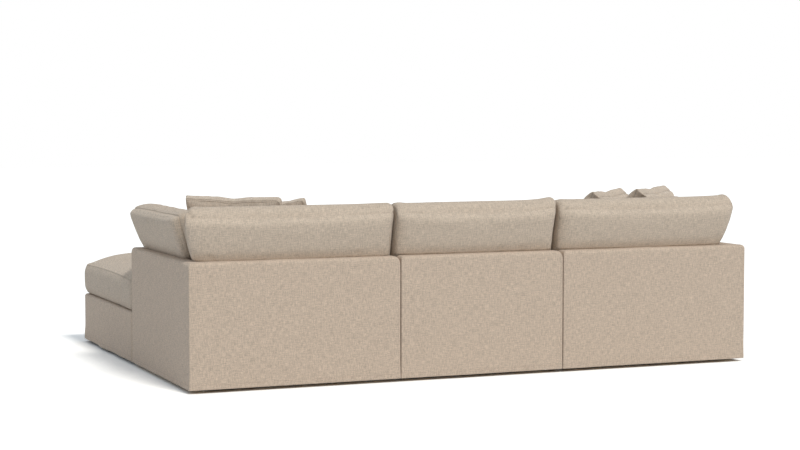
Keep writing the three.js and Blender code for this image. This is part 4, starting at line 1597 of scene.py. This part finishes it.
class Repeat(ABC):
    """A piece that Geometry Nodes make from a mesh of places."""

    name: str
    body: str

    def __init__(self, material: bpy.types.Material) -> None:
        """Takes the finish."""
        self.material = material

    @abstractmethod
    def places(self) -> tuple[list[Place], list[tuple[int, int]]]:
        """Points and edges that the tree starts from."""

    @abstractmethod
    def sizes(self) -> dict[str, float]:
        """Named inputs of the tree."""

    @abstractmethod
    def grow(self, board: Board, start: Wire, size: dict[str, Wire]) -> Wire:
        """Adds the nodes that make the piece."""

    def tree(self) -> bpy.types.NodeTree:
        """The tree, which ends in Realize Instances and Set Material."""
        tree = bpy.data.node_groups.new(self.name, "GeometryNodeTree")
        ports = tree.interface
        ports.new_socket("Geometry", in_out="INPUT", socket_type="NodeSocketGeometry")
        ports.new_socket("Geometry", in_out="OUTPUT", socket_type="NodeSocketGeometry")
        for key in self.sizes():
            ports.new_socket(key, in_out="INPUT", socket_type="NodeSocketFloat")
        board = Board(tree)
        given = board.node("NodeGroupInput").socket.node
        size = {key: Wire(board, given.outputs[key]) for key in self.sizes()}
        grown = self.grow(board, Wire(board, given.outputs[0]), size)
        real = board.node("GeometryNodeRealizeInstances", {}, [grown])
        smooth = board.node("GeometryNodeSetShadeSmooth", {}, {"Geometry": real})
        worn = {"Geometry": smooth, "Material": self.material}
        board.node("NodeGroupOutput", {}, [board.node("GeometryNodeSetMaterial", {}, worn)])
        return tree

    def build(self) -> bpy.types.Object:
        """Makes the piece as one plain mesh."""
        mesh = net(self.name, *self.places(), [])
        made = placed(self.name, mesh)
        nodes = made.modifiers.new("repeat", "NODES")
        nodes.node_group = self.tree()
        sizes = self.sizes()
        for item in nodes.node_group.interface.items_tree:
            if item.in_out == "INPUT" and item.name in sizes:
                nodes[item.identifier] = sizes[item.name]
        graph = bpy.context.evaluated_depsgraph_get()
        baked = bpy.data.meshes.new_from_object(made.evaluated_get(graph))
        made.modifiers.clear()
        made.data = baked
        bpy.data.meshes.remove(mesh)
        baked.name = self.name
        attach(made, self.body)
        log.info("%s: %d faces", self.name, len(baked.polygons))
        return made


class HemStitches(Repeat):
    """Lockstitches along the hems of the covers of one body."""

    def __init__(self, body: str, covers: Sequence[Cover], material: bpy.types.Material) -> None:
        """Takes the body that they ride on, its built covers and the thread."""
        super().__init__(material)
        self.name = f"{body}_hem_stitches"
        self.body = body
        self.runs = [run for cover in covers for run in cover.stitch_line]

    def places(self) -> tuple[list[Place], list[tuple[int, int]]]:
        """The hems' lines."""
        points: list[Place] = []
        edges: list[tuple[int, int]] = []
        for run in self.runs:
            edges += [(len(points) + i, len(points) + i + 1) for i in range(len(run) - 1)]
            points += run
        return points, edges

    def sizes(self) -> dict[str, float]:
        """Length of a stitch with its gap, of the stitch, and its thickness."""
        return {"Spacing": 0.0052, "Stitch": 0.0040, "Thickness": 0.00042}

    def grow(self, board: Board, start: Wire, size: dict[str, Wire]) -> Wire:
        """Puts a short thread along the line at each spacing."""
        line = board.node("GeometryNodeMeshToCurve", {}, {"Mesh": start})
        step = {"Curve": line, "Length": size["Spacing"]}
        even = board.node("GeometryNodeResampleCurve", {"mode": "LENGTH"}, step)
        length = size["Stitch"]
        start, end = (board.vector(0.0, 0.0, length * share) for share in (-0.5, 0.5))
        path = board.node("GeometryNodeCurvePrimitiveLine", {}, {"Start": start, "End": end})
        belly = [(0, 0.35), (0.5, 1), (1, 0.35)]
        stitch = board.tube(path, 4, belly, 5, size["Thickness"])
        tangent = board.node("GeometryNodeInputTangent")
        turned = board.node("FunctionNodeAlignRotationToVector", {"axis": "Z"}, {"Vector": tangent})
        values = {"Points": even, "Instance": stitch, "Rotation": turned}
        return board.node("GeometryNodeInstanceOnPoints", {}, values)

    def build(self) -> bpy.types.Object:
        """Makes the stitches."""
        made = super().build()
        return made


class Glides(Repeat):
    """The turned feet of one body."""

    def __init__(self, body: str, modules: Sequence[str], material: bpy.types.Material) -> None:
        """Takes the body that they ride on, its modules' names and the plastic."""
        super().__init__(material)
        self.name = f"{body}_glides"
        self.body = body
        self.nodes = [f"{module}_glide_{i}" for module in modules for i in range(1, 5)]

    def places(self) -> tuple[list[Place], list[tuple[int, int]]]:
        """The middle of each foot, on the floor."""
        points = []
        for node in self.nodes:
            low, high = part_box(node)
            points.append(((low.x + high.x) / 2, (low.y + high.y) / 2, 0.0))
        return points, []

    def sizes(self) -> dict[str, float]:
        """Radius and height of a foot with its stem."""
        low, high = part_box(self.nodes[0])
        return {"Radius": SIZES.glide_radius, "Height": high.z - low.z}

    def grow(self, board: Board, start: Wire, size: dict[str, Wire]) -> Wire:
        """Sweeps a ring up an axis, with a radius that follows the foot's profile."""
        top = board.vector(0.0, 0.0, size["Height"])
        axis = board.node("GeometryNodeCurvePrimitiveLine", {}, {"End": top})
        profile = [(0, 0.84), (0.012, 0.88), (0.04, 0.95), (0.08, 1), (0.36, 1), (0.38, 0.985)]
        profile += [(0.395, 0.95), (0.397, 0.2), (1, 0.2)]
        foot = board.tube(axis, 100, profile, 32, size["Radius"])
        return board.node("GeometryNodeInstanceOnPoints", {}, {"Points": start, "Instance": foot})

    def build(self) -> bpy.types.Object:
        """Makes the feet and stands them for their nodes."""
        made = super().build()
        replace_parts(made, *self.nodes)
        return made


# ---------------------------------------------------------------------------------------------
# Modules


@dataclass
class Seat:
    """One seat: its covers and the cushions on it."""

    name: str
    arm: Arm
    width: float
    centre: float
    seed: float
    covers: list[Cover] = field(default_factory=list, init=False)

    @property
    def plan(self) -> Rectangle:
        """The seat's outer plan."""
        return PLANS[self.name]

    @property
    def base(self) -> Rectangle:
        """The base inside the walls."""
        inner = SIZES.wall + SIZES.fit
        return self.plan.inset(*self.by_arm(inner), inner)

    @property
    def free(self) -> Rectangle:
        """The part of the seat that no back or side cushion presses on."""
        return self.plan.inset(*self.by_arm(SIDE_LEAN.strip()), BACK_LEAN.strip())

    def by_arm(self, there: float, elsewhere: float = 0) -> tuple[float, float]:
        """Values for the end at -x and the one at +x: one where the arm stands, else another."""
        return tuple(there if self.arm is side else elsewhere for side in (Arm.RIGHT, Arm.LEFT))

    def wall_corners(self) -> list[tuple[float, float]]:
        """The plan of the walls, counterclockwise from the rear of a free end."""
        p, wall = self.plan, SIZES.wall
        inner = p.y1 - wall
        low, high = [(p.x0, p.y1), (p.x0, inner)], [(p.x1, inner), (p.x1, p.y1)]
        if self.arm is Arm.LEFT:
            side = p.x1 - wall
            return [*low, (side, inner), (side, p.y0), (p.x1, p.y0), (p.x1, p.y1)]
        if self.arm is Arm.RIGHT:
            side = p.x0 + wall
            return [(p.x0, p.y0), (side, p.y0), (side, inner), *high, (p.x0, p.y1)]
        return low + high

    def build_covers(self, finishes: Finishes) -> None:
        """Makes the wall cover and the base cover."""
        nodes = [f"{self.name}_back_cover"]
        if self.arm is not Arm.NONE:
            nodes.append(f"{self.name}_arm_cover")
        wall = Cover(
            f"{self.name}_walls_upholstered",
            "root",
            Plan(self.wall_corners(), 0.006, 0.016),
            SIZES.wall_top,
            SIZES.edge_radius,
            self.seed,
            tuple(nodes),
            shoulders=(0.0 if self.arm is Arm.RIGHT else 38 * MM, 12 * MM),
        )
        self.covers = [wall, base_cover(self.name, "root", self.base, self.seed + 20)]
        for cover in self.covers:
            cover.build(finishes.cover)

    def build_cushions(self, finishes: Finishes) -> None:
        """Makes the seat, back and side cushions."""
        for cushion in [self.seat_cushion(), self.back_cushion()] + self.side_cushions():
            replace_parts(cushion.build(finishes.cushion), cushion.name.removesuffix("_sewn"))

    def seat_cushion(self) -> SeatCushion:
        """The seat cushion."""
        gap, base = SIZES.cushion_gap, self.base
        plan = Rectangle(base.x0 + gap, base.y0 + gap, base.x1 - gap, base.y1 - gap)
        return SeatCushion(
            f"{self.name}_seat_cushion_sewn",
            f"{self.name}_seat",
            self.seed + 40,
            plan,
            self.free,
            SIZES.seat_crown,
            open_front=self.arm is not Arm.LEFT,
        )

    def back_cushion(self) -> LeaningCushion:
        """The back cushion, slid a little towards the chaise where it is over the wall."""
        seam = self.width / 2 - SIZES.cushion_gap
        in_arm = self.width / 2 - SIZES.wall - SIZES.cushion_gap
        arm_end = LEFT_END if self.arm is Arm.LEFT else RIGHT_END

        def at_arm(z: Array, rise: Array, forward: Array) -> Array:
            """Its end over the arm."""
            return in_arm + arm_end.spill(z, rise) - arm_end.taper * forward

        def slid(z: Array) -> Array:
            """How far the end towards the chaise has slid at a height."""
            return BACK_SLIDE * eased(z, SLIDE_START, SLIDE_END)

        def start(z: Array, rise: Array, forward: Array) -> Array:
            """The end at -x."""
            if self.arm is Arm.RIGHT:
                return -at_arm(z, rise, forward)
            return np.full(len(z), BACK_SLIDE - seam)

        def end(z: Array, rise: Array, forward: Array) -> Array:
            """The end at +x."""
            return at_arm(z, rise, forward) if self.arm is Arm.LEFT else seam + slid(z)

        centre = self.centre
        cushion = LeaningCushion(
            f"{self.name}_back_cushion_sewn",
            f"{self.name}_back",
            self.seed + 60,
            BACK_LEAN,
            self.width,
            start,
            end,
            BACK_DROPS[self.arm],
            lambda along, inward, z: stacked(centre + along, SIZES.rear - inward, z),
            rounded_ends=BACK_ENDS[self.arm],
            rear_power_high=16 if self.arm is Arm.LEFT else 8,
            ears=BACK_EARS[self.arm],
            pushed=self.by_arm(0, BACK_PUSHED),
            end_room=self.by_arm(4 * MM),
        )
        if self.arm is Arm.LEFT:
            cushion.cell = 0.008
            cushion.creases = BACK_CREASES
        return cushion

    def side_cushions(self) -> list[LeaningCushion]:
        """The side cushion of a corner seat."""
        if self.arm is Arm.NONE:
            return []

        def start(z: Array, rise: Array, forward: Array) -> Array:
            """Its rear end, pressed against the back cushion's front and round its end."""
            back = BACK_LEAN
            up = 2 * (z - SIZES.leaning_bottom) / (back.top_seam - SIZES.leaning_bottom) - 1
            crown = back.front_crown * hump(1 - 0.3 * forward) * np.maximum(hump(up), 0)
            flat = back.rear_seam(z) + (back.boxing + crown) / math.cos(back.lean)
            wedge = np.maximum(1 - forward / 0.35, 0) ** 2 * eased(rise, 0, 0.3)
            return flat + SIZES.cushion_gap - SIDE_WEDGE * wedge

        def end(z: Array, rise: Array, forward: Array) -> Array:
            """Its front end."""
            return np.full(len(z), SIZES.seat_depth - SIDE_FRONT_INSET)

        side, half, centre = self.arm.value, self.width / 2, self.centre
        cushion = LeaningCushion(
            f"{self.name}_side_cushion_sewn",
            f"{self.name}_side",
            self.seed + 80,
            SIDE_LEAN,
            0.86,
            start,
            end,
            (0, 0.016),
            lambda run, inward, z: stacked(centre + side * (half - inward), SIZES.rear - run, z),
            rounded_ends=(0.060, 0.035),
            rounded_sides=(0.026, 0.026),
            top_crown=4 * MM if self.arm is Arm.RIGHT else 9 * MM,
            seams_round=1,
            rear_power=20,
            rear_power_high=20,
            roll=1,
            start_drawn=0.2,
            end_room=(0, 6 * MM),
        )
        return [cushion]


LOOSE_GAP, LOOSE_FLARE, LOOSE_SAG = 6 * MM, 10 * MM, 12 * MM
OTTOMAN_SHORT = 26 * MM


def base_cover(name: str, body: str, base: Rectangle, seed: float) -> Cover:
    """The cover of a base, between the corners of its plan."""
    loose = name == "ottoman"
    rear = base.y1 - (LOOSE_GAP if loose else 0)
    corners = [(base.x0, rear), (base.x0, base.y0), (base.x1, base.y0), (base.x1, rear)]
    plan = Plan(corners, 0.018 if loose else 0.006, 0.018)
    cover = Cover(
        f"{name}_base_upholstered",
        body,
        plan,
        SIZES.base_top,
        0.016 if loose else 0.009,
        seed,
        (f"{name}_base_cover",),
    )
    if loose:
        cover.flare, cover.sag = LOOSE_FLARE, LOOSE_SAG
    return cover


@dataclass
class Ottoman:
    """The ottoman: its cover and its cushion."""

    seed: float
    covers: list[Cover] = field(default_factory=list, init=False)

    def build_covers(self, finishes: Finishes) -> None:
        """Makes the base cover."""
        self.covers = [base_cover("ottoman", "ottoman", PLANS["ottoman"], self.seed)]
        self.covers[0].build(finishes.cover)

    def build_cushions(self, finishes: Finishes) -> None:
        """Makes the cushion."""
        plan, gap = PLANS["ottoman"], SIZES.cushion_gap
        inner = Rectangle(plan.x0 + gap, plan.y0 + gap, plan.x1 - gap, plan.y1 - OTTOMAN_SHORT)
        name, seed = "ottoman_cushion_sewn", self.seed + 40
        cushion = SeatCushion(name, "ottoman_top", seed, inner, plan, SIZES.ottoman_crown)
        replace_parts(cushion.build(finishes.cushion), "ottoman_cushion")


PILLOWS = {
    "left_pillow_rear": (Arm.LEFT, PillowPlace(0.372, 0.512, 0.908, 43)),
    "left_pillow_front": (Arm.LEFT, PillowPlace(0.530, 0.585, 0.890, 43, 0.05, 0.026)),
    "right_pillow_rear": (Arm.RIGHT, PillowPlace(0.318, 0.389, 0.918, 43, width=0.520)),
    "right_pillow_front": (Arm.RIGHT, PillowPlace(0.5863, 0.3995, 0.906, 44, width=0.514)),
}


class Sofa:
    """The whole sofa."""

    def __init__(self) -> None:
        """Sets out the modules."""
        s = SIZES
        self.finishes = Finishes()
        self.seats = {
            Arm.LEFT: Seat("left", Arm.LEFT, s.corner_width, s.corner_centre, 1.3),
            Arm.NONE: Seat("middle", Arm.NONE, s.middle_width, 0.0, 102.7),
            Arm.RIGHT: Seat("right", Arm.RIGHT, s.corner_width, -s.corner_centre, 204.1),
        }
        self.ottoman = Ottoman(305.9)

    def dress_frame(self) -> None:
        """Gives the nodes that stay their finishes."""
        worn = {
            "_base_frame": self.finishes.timber,
            "_wall_frame": self.finishes.timber,
            "_webbing": self.finishes.webbing,
            "_deck_pad": self.finishes.deck,
            "_dust_cloth": self.finishes.dust,
            "joining_plate_": self.finishes.steel,
        }
        for name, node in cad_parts.items():
            for part, material in worn.items():
                if part in name:
                    for slot in node.material_slots:
                        slot.material = material

    def build(self) -> None:
        """Builds every piece."""
        self.dress_frame()
        modules = [*self.seats.values(), self.ottoman]
        for module in modules:
            module.build_covers(self.finishes)
        for module in modules:
            module.build_cushions(self.finishes)
        for number, (name, (arm, place)) in enumerate(PILLOWS.items()):
            seat = self.seats[arm]
            seed = 400.0 + 13 * number
            pillow = Pillow(f"{name}_sewn", name, seed, arm, place, seat.plan, seat.free)
            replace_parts(pillow.build(self.finishes.pillow), name)
        seat_covers = [cover for seat in self.seats.values() for cover in seat.covers]
        HemStitches("root", seat_covers, self.finishes.thread).build()
        HemStitches("ottoman", self.ottoman.covers, self.finishes.thread).build()
        Glides("root", ("left", "middle", "right"), self.finishes.plastic).build()
        Glides("ottoman", ("ottoman",), self.finishes.plastic).build()


# ---------------------------------------------------------------------------------------------
# Studio


@dataclass(frozen=True)
class Studio:
    """The camera, the lamps and the floor."""

    eye: Place = (4.0517, 9.8253, 1.4042)
    looking: Place = (-0.37994, -0.92272, -0.06504)
    lens: float = 85.18
    sky: float = 0.46
    sky_seen: float = 1.0
    key: float = 1.66
    key_spread: float = 12.0
    key_from: Place = (-0.12, 0.61, 0.78)
    floor_level: float = 0.8
    floor_seen: float = 1.41
    floor_half: float = 30.0

    def camera(self) -> None:
        """Puts the camera where the photograph was taken from."""
        data = bpy.data.cameras.new("camera")
        data.sensor_fit = "HORIZONTAL"
        data.sensor_width = 36.0
        data.lens = self.lens
        data.clip_end = 200
        made = placed("camera", data)
        made.location = self.eye
        made.rotation_mode = "QUATERNION"
        made.rotation_quaternion = Vector(self.looking).to_track_quat("-Z", "Y")
        bpy.context.scene.camera = made

    def world(self) -> None:
        """A plain sky, white where it is seen and softer where it lights."""
        world = bpy.data.worlds.new("sky")
        bpy.context.scene.world = world
        board = Board.emptied(world)
        seen = seen_directly(board)
        strength = seen * self.sky_seen + (1 - seen) * self.sky
        color = board.mix(seen, (0.95, 1.0, 1.04), (1.0, 1.0, 1.0))
        sky = board.node("ShaderNodeBackground", {}, {"Color": color, "Strength": strength})
        board.node("ShaderNodeOutputWorld", {}, {"Surface": sky})

    def lamp(self) -> None:
        """A broad soft key light from behind the camera and above."""
        data = bpy.data.lights.new("key", "SUN")
        data.energy = self.key
        data.angle = math.radians(self.key_spread)
        data.color = (1.0, 0.945, 0.86)
        made = placed("key", data)
        made.rotation_mode = "QUATERNION"
        made.rotation_quaternion = Vector(self.key_from).to_track_quat("Z", "Y")

    def floor(self) -> None:
        """A pale floor that shows white, and keeps the sofa's shadow."""
        half = self.floor_half
        corners = [(-half, -half, 0), (half, -half, 0), (half, half, 0), (-half, half, 0)]
        mesh = net("floor", corners, [], [(0, 1, 2, 3)])
        made = placed("floor", mesh)
        material = bpy.data.materials.new("Floor")
        board = Board.emptied(material)
        seen = seen_directly(board)
        level = seen * self.floor_seen + (1 - seen) * self.floor_level
        color = board.dim((0.98, 1.0, 1.02), level)
        pale = board.node("ShaderNodeBsdfDiffuse", {}, {"Color": color})
        board.node("ShaderNodeOutputMaterial", {}, {"Surface": pale})
        mesh.materials.append(material)

    def build(self) -> None:
        """Sets the whole studio."""
        scene = bpy.context.scene
        scene.view_settings.view_transform = "Standard"
        self.camera()
        self.world()
        self.lamp()
        self.floor()


def seen_directly(board: Board) -> Wire:
    """1 for rays from the camera, and for what gloss and glass show, else 0."""
    path = board.node("ShaderNodeLightPath").socket.node.outputs
    kinds = ("Is Camera Ray", "Is Glossy Ray", "Is Transmission Ray")
    rays = [Wire(board, path[kind]) for kind in kinds]
    settings = {"operation": "MAXIMUM"}
    first = board.node("ShaderNodeMath", settings, rays[:2])
    return board.node("ShaderNodeMath", settings, [first, rays[2]])


def write_sizes() -> None:
    """Brings the view layer up to date."""
    bpy.context.view_layer.update()


def main() -> None:
    """Builds the studio and the sofa."""
    logging.basicConfig(level=logging.INFO, format="%(name)s: %(message)s")
    Studio().build()
    Sofa().build()
    write_sizes()


if __name__ == "__main__":
    main()
